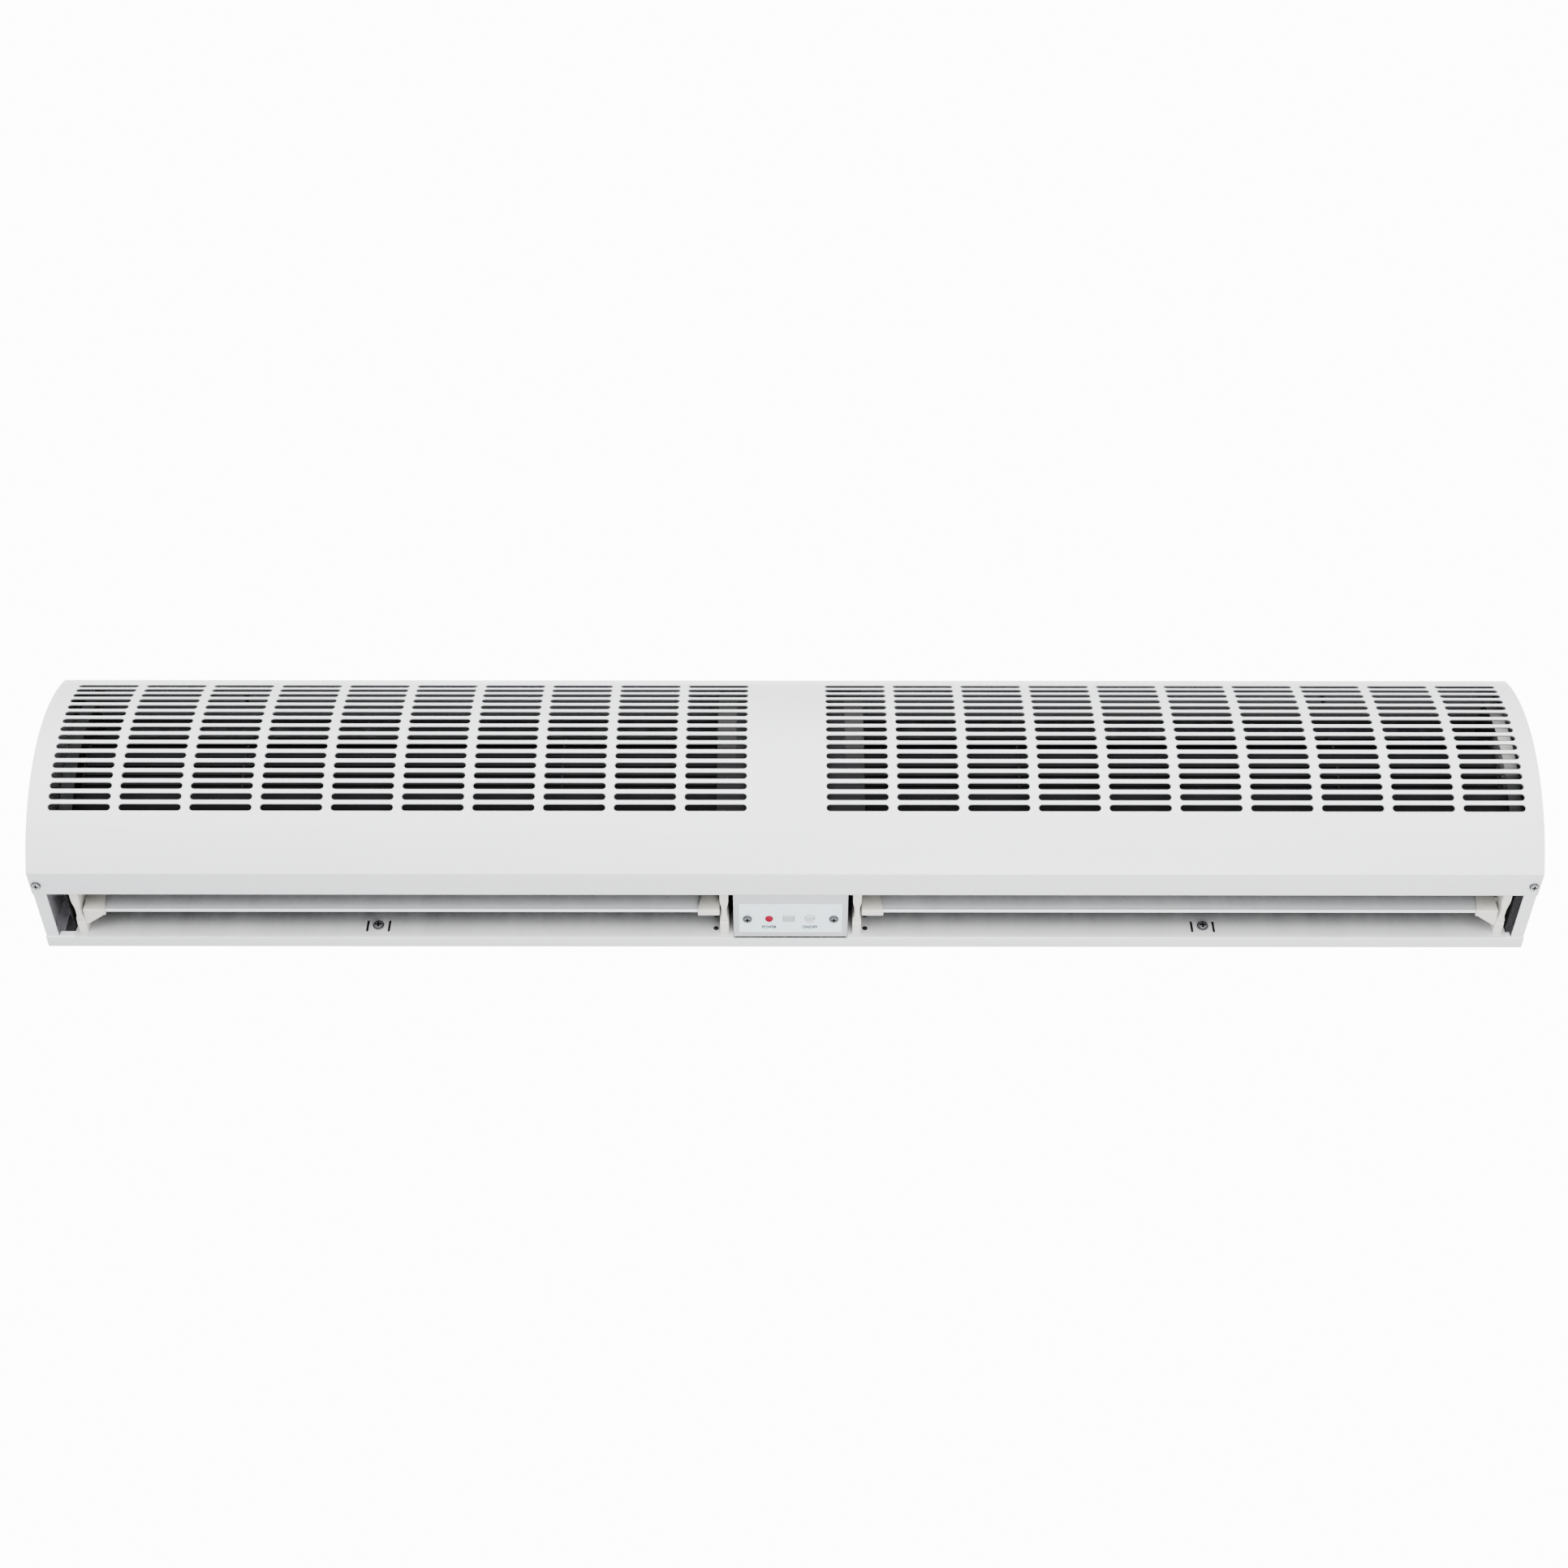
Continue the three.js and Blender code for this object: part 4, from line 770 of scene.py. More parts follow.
# Vane: aluminium with painted shade farther up from the mouth.
ALUMINIUM = ShadedFarIn("anodised_aluminium", (0.90, 0.91, 0.93), (0.16, 0.16, 0.165), rough=0.42, metal=0.15,
                   grain=1400.0, stretch=(0.02, 1.0, 1.0), lit_height=8.0, shaded_height=26.0)
STEEL = Finish("bright_steel", (0.50, 0.51, 0.52), (0.42, 0.43, 0.44), rough=0.24, metal=1.0,
               grain=1800.0, stretch=(1.0, 0.15, 0.15))
SCREW = Plated("screw_steel", (0.66, 0.66, 0.66), (0.40, 0.40, 0.39), rough=0.3, metal=0.9)
# Black plastic, partly its own colour and partly painted shade: made darker and less glossy than the plastic to stand
# for the shade inside the casing.
BLACK = Finish("black_plastic", (0.008, 0.008, 0.009), (0.014, 0.014, 0.015), rough=0.6, shine=0.08)
RUBBER = Finish("black_rubber", (0.014, 0.014, 0.014), (0.032, 0.031, 0.030), rough=0.78)
BRONZE = Finish("bearing_bronze", (0.42, 0.29, 0.14), (0.30, 0.20, 0.10), rough=0.4, metal=0.9)
FILM = Finish("control_film", (0.80, 0.95, 1.0), (0.78, 0.93, 0.98), rough=0.36, grain=2400.0, relief=0.000006)
INK = Finish("control_film", (0.012, 0.012, 0.02), (0.02, 0.02, 0.03), rough=0.6, shine=0.1, variant="ink")
RED = Finish("red_lens", (0.25, 0.003, 0.022), (0.16, 0.002, 0.014), rough=0.4, relief=0.000003, shine=0.06)
GREY = Finish("grey_lens", (0.42, 0.43, 0.45), (0.38, 0.39, 0.41), rough=0.2, relief=0.000003, coat=0.4)
BUTTON = Finish("white_plastic", (0.56, 0.56, 0.59), (0.52, 0.52, 0.55), rough=0.27, relief=0.000006)
BOARD = Finish("green_board", (0.02, 0.13, 0.05), (0.03, 0.17, 0.08), rough=0.36, grain=700.0, coat=0.5)
# End plates: white powder coat with painted shade on their inner face.
END_COAT = EndCoat("white_paint", (0.82, 0.83, 0.85), (0.79, 0.80, 0.81), rough=0.34, relief=0.000012,
                   variant="end", inner_shade=(0.40, 0.40, 0.43))
# Control panel: the casing's white paint, darkened as painted shade of its recess.
PANEL = PowderCoat("white_paint", (0.53, 0.54, 0.56), (0.51, 0.52, 0.54), rough=0.36, relief=0.000012,
                   variant="panel")
OWN_FINISHES = {
    **{f"{side.label}_{name}": finish for side in Side
       for name, finish in (("scroll", DUCT), ("partition", WALL_ZINC), ("end_plate", END_COAT))},
    "left_end_bracket": SHADED_ZINC,
    "right_end_bracket": END_ZINC,
}
FINISHES = (WHITE, ZINC, CREAM, ALUMINIUM, STEEL, SCREW, BLACK, RUBBER, BRONZE, FILM, RED, GREY, BUTTON, BOARD)


# ---- front cover
@dataclass(frozen=True)
class FrontCover:
    """Bowed sheet with sixteen rows of slots, folded over the top and under the chin."""

    half: float = 600.0
    sheet: float = 1.0
    height: float = 185.0
    radius: float = 146.0
    centre: Pair = (-4.0, 116.0)
    top_angle: float = 28.20339
    chin_angle: float = -52.6075
    flange: float = 25.0
    mouth: float = -68.1566
    hem: float = 6.0
    relief: float = 11.0
    rows: int = 16
    row_pitch: float = 9.0
    row_start: float = 18.0
    columns: int = 10
    pitch: float = 56.0
    middles: Pair = (-307.0, 309.5)
    slot_half: float = 24.5
    slot_radius: float = 2.5
    dip: float = 0.26
    rim: Triple = (1.1, 0.55, 0.0)
    clear: float = 0.4

    @property
    def flats(self) -> Array:
        """Grid lines over a slot's straight edge, from its middle."""
        return np.array([-1, -0.5, 0, 0.5, 1]) * (self.slot_half - self.slot_radius)

    @property
    def places(self) -> Array:
        """(2, columns) middles of the slots of both grilles along x."""
        return np.add.outer(self.middles, (np.arange(self.columns) - (self.columns - 1) / 2) * self.pitch)

    def section(self) -> tuple[Array, Array]:
        """Outer face of the sheet as (along, (y, z)), rounded at the brow, the chin and the hem."""
        bow = np.radians(np.linspace(self.top_angle, self.chin_angle, 181))
        arc = np.stack([self.centre[0] - self.radius * np.cos(bow), self.centre[1] + self.radius * np.sin(bow)], 1)
        corners = np.vstack([[arc[0, 0] + self.flange, self.height], arc, [self.mouth, 0.0], [self.mouth, self.hem]])
        radii = np.zeros(len(corners))
        radii[1], radii[-3], radii[-2] = 1.1, 1.1, 1.2
        return rounded(corners, radii)

    def cells(self) -> Patchwork:
        """Slots as rings of twenty (x, along, dip) points.

        The rings run from the cell's rectangle through two outlines round the slot to its edge.
        """
        straight = self.slot_half - self.slot_radius
        ends = np.radians([60, 30, 0, -30, -60])
        out, tall = self.pitch / 2, self.row_pitch / 2

        def outline(r: float) -> Array:
            """Twenty points round the slot, at a radius about its ends' centres."""
            right = np.stack([straight + r * np.cos(ends), r * np.sin(ends)], 1)
            top = np.stack([self.flats, np.full(5, r)], 1)
            return np.vstack([top, right, -top, -right])

        side = np.stack([np.full(5, out), tall * np.array([1, 0.5, 0, -0.5, -1])], 1)
        top = np.stack([self.flats, np.full(5, tall)], 1)
        rings = [np.vstack([top, side, -top, -side])] + [outline(self.slot_radius + off) for off in self.rim]
        cell = np.dstack([np.stack(rings), np.repeat([0.0, 0.0, 0.0, self.dip], 20).reshape(4, 20)])
        s = self.flange + self.row_start + np.arange(self.rows) * self.row_pitch
        shift = flat_places(*np.meshgrid(self.places.ravel(), s, indexing="ij")).reshape(-1, 1, 3)
        faces = Patchwork().grid(cell, close_v=True).faces[0] + 80 * np.arange(len(shift))[:, None, None]
        return Patchwork().add(cell.reshape(-1, 3) + shift, faces.reshape(-1, 4)[:, ::-1])

    def plain(self, along: Array) -> Patchwork:
        """Everything round the two grilles: a grid of x and along whose slotted blocks are left out."""
        across = np.array([-self.pitch / 2, *self.flats, self.pitch / 2])
        edge = self.half - self.relief
        slotted = (self.places[..., None] + across).ravel()
        x = np.unique(np.round([-self.half, -edge, edge, self.half, *slotted], 4))
        first = self.flange + self.row_start - self.row_pitch / 2
        last = first + self.rows * self.row_pitch
        inside = first + np.arange(self.rows * 4 + 1) * self.row_pitch / 4
        outside = along[(along < first - self.clear) | (along > last + self.clear)]
        keep = np.concatenate([[True], np.diff(outside) > SAME_LINE])
        s = np.unique(np.round(np.concatenate([outside[keep], inside]), 4))
        x_mid, s_mid = ((x[:-1] + x[1:]) / 2)[:, None], ((s[:-1] + s[1:]) / 2)[None]
        in_x = (np.abs(x_mid - self.middles) < self.columns * self.pitch / 2).any(1, keepdims=True)
        hem = (np.abs(x_mid) > edge) & (s_mid > along[-1] - self.hem + self.sheet)
        return Patchwork().lattice(x, s, ~((in_x & (s_mid > first) & (s_mid < last)) | hem))

    def build(self) -> None:
        """Joins both patches, folds them along the section and dresses them."""
        along, path = self.section()
        work = folded(self.plain(along).merge(self.cells()), along, path, self.sheet)
        mark(make("front_cover_sheet", work, WHITE, "front_cover"), "inside", self.inside)

    def inside(self, places: Array) -> Array:
        """Mask of painted shade: 1 on the inner face and on the slots' rolled and cut edges, 0 on the outer face, which
        keeps its white paint.
        """
        y, z = places[:, 1], places[:, 2]
        reach = np.hypot(y - self.centre[0], z - self.centre[1])
        return (reach < self.radius - 0.3 * self.dip) & (z > 1.5) & (z < self.height - 0.3)


# ---- small pieces
def section_box(node: str) -> tuple[Array, Array]:
    """Lowest and highest corner of a CAD node in section millimetres."""
    low, high = (np.array(corner) / METRES + (0, 0, RAIL_CENTRE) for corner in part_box(node))
    return low, high


@dataclass(frozen=True)
class PanScrew:
    """Pan-head screw with a cross recess, standing where its CAD node does.

    Args:
        node: the CAD node.
        axis: direction of the shank.
        head_high: the head is at the far end of the axis.
        shank: radius of the shank.
        rise: height of the head.
        crown_tone: how much darker its crown is.
    """

    node: str
    axis: Axis
    head_high: bool
    shank: float = 1.9
    rise: float = 2.2
    crown_tone: float = 0.0

    def rings(self, radius: float, length: float) -> Array:
        """(rings, 24, 3) of (u, v, height over the head's seat), the cross lying on every sixth point."""
        arm, reach, depth = 0.15 * radius, 0.58 * radius, 0.6 * self.rise
        radii = np.array([1.7 * arm, 1.7 * arm + 0.05, reach, reach + 0.06, 0.8 * radius, 0.95 * radius, radius,
                          radius, self.shank, self.shank])
        dome = self.rise * (1 - 0.35 * (radii / radius) ** 2)
        dome[6:] = [0.4 * self.rise, 0.0, 0.0, -length]
        half = np.arcsin(arm / np.clip(radii, 1.7 * arm, reach))[:, None]
        quarter = np.hstack([-half, 0 * half, half, half + 0.03, 0 * half + np.pi / 4, np.pi / 2 - half - 0.03])
        turn = (quarter[:, None, :] + np.arange(4)[None, :, None] * np.pi / 2).reshape(len(radii), 24)
        in_arm = np.tile([True, True, True, False, False, False], 4)
        sunk = dome - depth * np.array([1.0, 1.0, 0.85, 0, 0, 0, 0, 0, 0, 0])
        height = np.where(in_arm, sunk[:, None], dome[:, None])
        height[0] = sunk[0]
        return np.stack([radii[:, None] * np.cos(turn), radii[:, None] * np.sin(turn), height], -1)

    def build(self) -> None:
        """Reads the node's box, sets the screw on its axis and makes it."""
        low, high = section_box(self.node)
        along = self.axis.value
        middle = np.delete((low + high) / 2, along)
        radius = np.delete(high - low, along).max() / 2
        rings = self.rings(radius, high[along] - low[along] - self.rise)
        seat = high[along] - self.rise if self.head_high else low[along] + self.rise
        sign = 1.0 if self.head_high else -1.0
        place = oriented(middle[0] + rings[..., 0], middle[1] + rings[..., 1], seat + sign * rings[..., 2], self.axis)
        piece = make(f"{self.node}_head", Patchwork().tube(place), SCREW, self.node)

        def grime(places: Array) -> Array:
            """Painted shade: 1 in the recess, nearly so under the head's rim; elsewhere the crown's own darkening."""
            across = np.delete(places - np.insert(middle, along, 0.0), along, axis=1)
            off = np.linalg.norm(across, axis=1) / radius
            rise = sign * (places[:, along] - seat) / self.rise
            sunk = (off < 0.6) & (rise < 0.93 - 0.35 * off ** 2)
            return np.maximum(np.where(sunk, 1.0, self.crown_tone), np.clip((off - 0.72) / 0.12, 0, 1) * 0.9)

        mark(piece, "grime", grime)


def screws() -> None:
    """All nine screws."""
    for name in ("left", "middle", "right"):
        PanScrew(f"{name}_top_screw", Axis.Z, True).build()
    for side in Side:
        PanScrew(f"{side.label}_cover_screw", Axis.Z, False).build()
        PanScrew(f"{side.label}_panel_screw", Axis.Z, False, crown_tone=0.62).build()
        PanScrew(f"{side.label}_lock_screw", Axis.Y, False, 2.0, crown_tone=0.3).build()


# ---- outlets
@dataclass(frozen=True)
class Outlet:
    """One outlet: a hinged vane between two moulded caps, and the two brackets that carry them."""

    side: Side
    bay_half: float = 45.0
    works_half: float = 581.0
    sheet: float = 1.0
    gap: float = 4.0
    fit: float = 0.3
    front: float = -67.8566
    back: float = -20.1
    pivot: Pair = (-43.2566, 19.7)
    pin: float = 2.5
    half: float = 14.3
    skin: float = 0.8
    bead: float = 1.5
    grip: float = 12.0
    wall: float = 1.5
    floor: float = 3.0
    web: float = 11.0
    slant: float = 2.4
    width: float = 7.0
    waist: float = 4.1
    waist_reach: tuple[float, ...] = (-15, -4, 1.5, 9)
    groove: float = -33.6
    groove_depth: float = 1.1
    low: float = 3.0
    high: float = 25.0
    channel: float = -19.8
    plug_inset: float = 15.5
    plug_heights: Pair = (8.6, 23.0)
    plug_radius: float = 2.2
    plug_rise: float = 0.9

    def named(self, edge: int, what: str) -> str:
        """Name of the node that does a job at one end of the vane."""
        return f"{self.side.label}_{'outer' if edge > 0 else 'inner'}_vane_{what}"

    def into(self, edge: int) -> int:
        """Direction along x from a bracket into the outlet; edge is -1 at the bay and 1 at the end."""
        return -self.side.value * edge

    def near(self, edge: int) -> float:
        """Place of a bracket's face towards its wall."""
        wall = self.works_half if edge > 0 else self.bay_half + self.sheet
        return SHIFT + self.side.value * wall + self.into(edge) * self.gap

    def cap_face(self, edge: int) -> float:
        """Place of a cap's face towards its bracket."""
        return self.near(edge) + self.into(edge) * (self.width + self.fit)

    def vane(self) -> None:
        """Extruded blade with a round bead along both edges."""
        reach = self.half - self.bead
        start = -math.acos(self.skin / self.bead)
        turn = np.linspace(start, np.pi - start, 21)
        bead = np.stack([self.bead * np.cos(turn), reach + self.bead * np.sin(turn)], 1)
        outline = np.vstack([bead, -bead]) + self.pivot
        ends = sorted(self.cap_face(edge) + self.into(edge) * (self.floor + self.fit) for edge in (-1, 1))
        name = f"{self.side.label}_vane"
        make(f"{name}_blade", drawn_out(outline, *ends, Axis.X, 0.15), ALUMINIUM, name, body=f"{name}_set")

    def cap(self, edge: int) -> None:
        """Moulded sleeve with a pocket for the blade, a pivot pin and, at the outer end, a web behind it.

        Its mouth slants: it reaches farther along the blade's lower edge than along the upper one.
        """
        way = self.into(edge)
        face = self.cap_face(edge)
        mouth = face + way * (self.floor + self.grip)
        thick, tall = self.bead + self.fit, self.half + self.fit
        outer = oblong(thick + self.wall, tall + self.wall, 1.3)
        inner = oblong(thick, tall, 0.6)

        def ring(outline: Array, inset: float, level: float) -> Array:
            """An outline about the pivot, let in by a distance, at a place along x."""
            scale = (1 + inset / (thick + self.wall), 1 + inset / (tall + self.wall))
            return oriented(*(outline * scale + self.pivot).T, np.array(level), Axis.X)

        levels = ((outer, -0.7, face), (outer, -0.25, face + way * 0.2), (outer, 0.0, face + way * 0.7),
                  (outer, 0.0, mouth - way * 0.5), (outer, -0.2, mouth - way * 0.1), (outer, -0.5, mouth),
                  (inner, 0.0, mouth), (inner, 0.0, face + way * self.floor))
        place = np.stack([ring(*level) for level in levels])
        past = np.abs(place[..., 0] - face) > self.floor + 2
        place[..., 0] -= way * past * np.clip((place[..., 2] - self.pivot[1]) / tall, -1, 1) * self.slant
        work = Patchwork().tube(place)
        tip = face - way * (self.width - 1.2)
        work.merge(drawn_out(circle(self.pin, 24) + self.pivot, *sorted((tip, face + way)), Axis.X, 0.3))
        if edge > 0:
            rear = self.pivot[0] + thick + self.wall
            root = rear - self.wall / 2
            plate = np.array([[face, root], [mouth, root], [mouth, rear], [face, rear + self.web]])
            foot = self.pivot[1] - tall - self.wall
            work.merge(drawn_out(plate, foot, foot + 2.0, Axis.Z, 0.3))
        name = self.named(edge, "cap")
        make(f"{name}_moulding", work, CREAM, name, body=f"{self.side.label}_vane_set")

    def bracket(self, edge: int) -> None:
        """Post across the outlet, waisted round its bore.

        Rings run from the bore's circle to the post's rectangle: p = (1 - t) * circle + t * rectangle.
        Both faces follow a smooth waist, full at the ends and narrowest at the pivot, and a groove
        crosses the underside behind it.
        """
        way = self.into(edge)
        low, high = np.array([self.front, self.low]), np.array([self.back, self.high])
        line = np.linspace(-1, 1, 33)
        square = border(line, line)
        rim = np.array(self.pivot) + (self.pin + self.fit) * square / np.linalg.norm(square, axis=1)[:, None]
        middle, half = (low + high) / 2, (high - low) / 2
        shares = np.array([0, 0.06, 0.14, 0.26, 0.4, 0.55, 0.7, 0.85, 1.0])
        share = shares[:, None, None]
        flat = rim * (1 - share) + (middle + square * (half - 0.7)) * share
        rings = np.concatenate([flat, [middle + square * (half - inset) for inset in (0.2, 0.0)]])
        groove = self.groove_depth * np.exp(-((rings[..., 0] - self.groove) / 1.3) ** 2)
        rings[..., 1] += groove * np.clip(1 - (rings[..., 1] - self.low) / 4, 0, 1)
        dip = np.concatenate([np.zeros(len(shares)), [0.2, 0.7]])[:, None]
        off = rings[..., 0] - self.pivot[0]
        share = np.interp(off, self.waist_reach, [0, 1, 1, 0])
        inset = (self.width - self.waist) / 2 * share ** 2 * (3 - 2 * share) + dip
        faces = Patchwork().grid(flat_places(rings[..., 0], rings[..., 1]), close_v=True).faces[0]
        outer, inner = (oriented(rings[..., 0], rings[..., 1], self.near(edge) + way * depth, Axis.X).reshape(-1, 3)
                        for depth in (inset, self.width - inset))
        name = self.named(edge, "bracket")
        make(f"{name}_post", thickened(outer, faces, inner), CREAM, name)

    def plugs(self) -> None:
        """Two black plugs in the holes of the channel's back beside the inner bracket."""
        neck, face = 1.6, self.channel
        turn = np.radians([8, 30, 50, 70, 90])
        dome = np.stack([self.plug_radius * np.sin(turn), face - 0.05 - self.plug_rise * np.cos(turn)], 1)
        profile = np.vstack([dome, [[neck, face - 0.05], [neck, face + 2.0], [0.2, face + 2.0]]])
        x = SHIFT + self.side.value * (self.bay_half + self.plug_inset)
        work = Patchwork()
        for height in self.plug_heights:
            work.merge(spun(profile, (x, height), Axis.Y, 20))
        make(f"{self.side.label}_guide_plugs", work, BLACK)

    def build(self) -> None:
        """Builds the vane, its caps, its brackets and the plugs."""
        self.vane()
        self.plugs()
        for edge in (-1, 1):
            self.cap(edge)
            self.bracket(edge)


# ---- controls
@dataclass(frozen=True)
class Controls:
    """Folded panel under the motor bay with its film, lamp, receiver window and push button."""

    centre: Pair = (SHIFT, -40.9283)
    front: float = -67.8566
    rear: float = -17.5
    inside: float = 44.7
    half: float = 46.0
    recess: float = 1.0
    flange: float = 13.0
    wall_top: float = 7.7
    screw_half: float = 34.8
    screw_bore: float = 2.2
    lamp_x: float = -17.3
    lamp_radius: float = 2.5
    lamp_brim: float = 3.25
    lamp_rise: float = 2.6
    window_x: float = -1.5
    window: Pair = (4.5, 3.0)
    button_x: float = 15.4
    button_radius: float = 3.7
    film_half: float = 41.5
    film: Pair = (-57.3566, -24.5)
    film_face: float = 0.2
    rim: float = 1.0
    seat: float = 2.3
    letter: float = 4.6
    narrow: float = 0.74
    letter_line: float = 11.7

    def openings(self, start: float) -> tuple[tuple[Bore, ...], tuple[Box, ...]]:
        """Bores and cut-outs of a sheet whose path passes the controls' line at a place along it."""
        x = self.centre[0]
        bores = [Bore(x + side * self.screw_half, start, self.screw_bore, 4.0) for side in (-1, 1)]
        bores.append(Bore(x + self.lamp_x, start, self.lamp_radius + 0.3, 4.0))
        bores.append(Bore(x + self.button_x, start, self.button_radius + 0.5, 5.5))
        long, deep = self.window[0] + 0.3, self.window[1] + 0.3
        middle = x + self.window_x
        return tuple(bores), ((middle - long, middle + long, start - deep, start + deep),)

    def panel(self) -> None:
        """Tray folded up at the front and the rear, with two short side walls."""
        corners = ((self.front, self.flange), (self.front, self.recess), (self.rear, self.recess),
                   (self.rear, self.flange))
        start = self.flange - self.recess + self.centre[1] - self.front
        bores, cuts = self.openings(start)
        x = self.centre[0]
        tray = Sheet(corners, (x - self.inside, x + self.inside), 1.0, 1.6, bores, cuts).work()
        for side in (-1, 1):
            outer, inner = x + side * self.half, x + side * (self.inside - 0.01)
            tray.merge(block(tuple(sorted((outer, inner))), (self.front, self.rear), (self.recess, self.wall_top), 0.5))
        make("control_panel_tray", tray, PANEL, "control_panel")

    def overlay(self) -> None:
        """Printed film, half a millimetre thick, bored for the controls."""
        x, (front, rear) = self.centre[0], self.film
        bores, cuts = self.openings(self.centre[1] - front)
        corners = ((front, self.film_face), (rear, self.film_face))
        film = Sheet(corners, (x - self.film_half, x + self.film_half), 0.5, 0.0, bores, cuts).work()
        make("control_overlay_film", film, FILM, "control_overlay")

    def turned(self, node: str, face: Array, x: float, finish: Finish, bore: float, body: str) -> None:
        """Turned piece on the controls' line, with a flange that rests on the panel's inner face.

        Args:
            node: the CAD node.
            face: (n, 2) radii and heights of what shows, from its middle outwards.
            x: place from the panel's middle.
            finish: what it is made of.
            bore: radius of the stem over the flange.
            body: CAD body that it moves with.
        """
        radius, top = face[-1][0], section_box(node)[1][2]
        brim = radius + self.rim
        stem = [[radius, self.seat], [brim, self.seat], [brim, self.seat + 1], [bore, self.seat + 1], [bore, top]]
        work = spun(np.vstack([face, stem]), (self.centre[0] + x, self.centre[1]), Axis.Z)
        make(f"{node}_turning", work, finish, node, body=body)

    def lamp(self) -> None:
        """Domed lens, a little wider than its hole: z = face - rise * cos(a) at radius r * sin(a)."""
        turn = np.radians(np.linspace(6, 90, 9))
        brim = self.film_face - 0.05
        dome = np.stack([self.lamp_brim * np.sin(turn), brim - self.lamp_rise * np.cos(turn)], 1)
        self.turned("power_lamp", np.vstack([dome, [self.lamp_radius, brim]]), self.lamp_x, RED, 2.0, "casing")

    def button(self) -> None:
        """Push button with a rounded rim and a shallow dish."""
        face, soft = section_box("power_button")[0][2], 0.7
        turn = np.radians(np.linspace(90, 0, 6))
        edge = np.stack([self.button_radius - soft + soft * np.cos(turn), face + soft - soft * np.sin(turn)], 1)
        dish = [[0.6, face + 0.5], [1.5, face + 0.4], [2.4, face + 0.12]]
        self.turned("power_button", np.vstack([dish, edge]), self.button_x, BUTTON, 1.5, "button")

    def receiver(self) -> None:
        """Rectangular window with rounded corners and a flange behind the panel."""
        top = section_box("receiver_window")[1][2]
        x, y = self.centre[0] + self.window_x, self.centre[1]
        long, deep = self.window
        face, seat = self.film_face, self.seat
        levels = ((-0.5, 0.5, face - 1.1), (-0.15, 0.7, face - 0.95), (0.0, 0.8, face - 0.6), (0.0, 0.8, seat),
                  (1.0, 0.8, seat), (1.0, 0.8, seat + 1), (-2.0, 0.8, seat + 1), (-2.0, 0.8, top))
        rings = []
        for grow, radius, z in levels:
            outline = oblong(long + grow, deep + grow * (0.75 if grow < -1 else 1), radius) + (x, y)
            rings.append(oriented(*outline.T, np.array(z), Axis.Z))
        make("receiver_window_lens", Patchwork().tube(np.stack(rings)), GREY, "receiver_window")

    def label(self, name: str, words: str, x: float) -> None:
        """Small narrow printed word behind a control, read from below."""
        curve = bpy.data.curves.new(name, "FONT")
        curve.body = words
        curve.size = self.letter
        curve.extrude = 0.02
        curve.offset = 0.2
        curve.align_x = "CENTER"
        written = bpy.data.objects.new(name, curve)
        shape = bpy.data.meshes.new_from_object(written)
        shape.calc_loop_triangles()
        u, v, w = np.array([corner.co for corner in shape.vertices]).T
        rows = np.array([triangle.vertices for triangle in shape.loop_triangles])
        bpy.data.objects.remove(written)
        bpy.data.curves.remove(curve)
        bpy.data.meshes.remove(shape)
        spots = (self.centre[0] + x + self.narrow * u, self.centre[1] + self.letter_line - v,
                 self.film_face - 0.022 - w)
        make(name, Patchwork().add(np.stack(spots, 1), rows), INK)

    def build(self) -> None:
        """Builds every control."""
        self.panel()
        self.overlay()
        self.lamp()
        self.receiver()
        self.button()
        self.label("power_label", "POWER", self.lamp_x)
        self.label("switch_label", "ON/OFF", self.button_x)


# ---- wheels and rear casing
@dataclass(frozen=True)
class Wheel:
    """Cross-flow wheel: thirty-six curved blades, end discs and three stiffening rings."""

    side: Side
    axle: Pair = (-76.0, 106.0)
    radius: float = 48.0
    depth: float = 11.0
    disc: float = 1.5
    blades: int = 36
    lean: float = 26.0
    shaft_bore: float = 5.3
    stub_bore: float = 4.3

    def blade(self) -> Array:
        """Closed outline of one blade: angle = lean * t ** 1.6 from root to tip, thinner at both edges."""
        t = np.linspace(0, 1, 6)
        radius = self.radius - self.depth + (self.depth - 0.5) * t
        angle = np.radians(self.lean) * t ** 1.6
        line = radius[:, None] * np.stack([np.cos(angle), np.sin(angle)], 1)
        half = 0.25 + 0.3 * np.sin(np.pi * t)
        off = normals_of(line) * half[:, None]
        return np.vstack([line + off, (line - off)[::-1]])

    def build(self) -> None:
        """Turns the blades about the axle and adds the discs and rings."""
        low, high = section_box(f"{self.side.label}_impeller")
        axle = np.array(self.axle)
        work = Patchwork()
        for turn in np.arange(self.blades) * 2 * np.pi / self.blades:
            spin = np.array([[math.cos(turn), -math.sin(turn)], [math.sin(turn), math.cos(turn)]])
            work.merge(drawn_out(self.blade() @ spin.T + axle, low[0] + 0.4, high[0] - 0.4, Axis.X))
        ends = (low[0], high[0] - self.disc)
        motor_end, far_end = ends if self.side is Side.RIGHT else ends[::-1]
        rings = [(motor_end, self.shaft_bore), (far_end, self.stub_bore)]
        inner = self.radius - self.depth - 0.6
        rings += [(ends[0] + (ends[1] - ends[0]) * share, inner) for share in (0.25, 0.5, 0.75)]
        for place, inner in rings:
            far = place + self.disc
            ring = [[inner, place], [self.radius, place], [self.radius, far], [inner, far]]
            work.merge(spun(ring, self.axle, Axis.X, 48, True))
        make(f"{self.side.label}_wheel", work, BLACK, f"{self.side.label}_impeller", body="rotor")


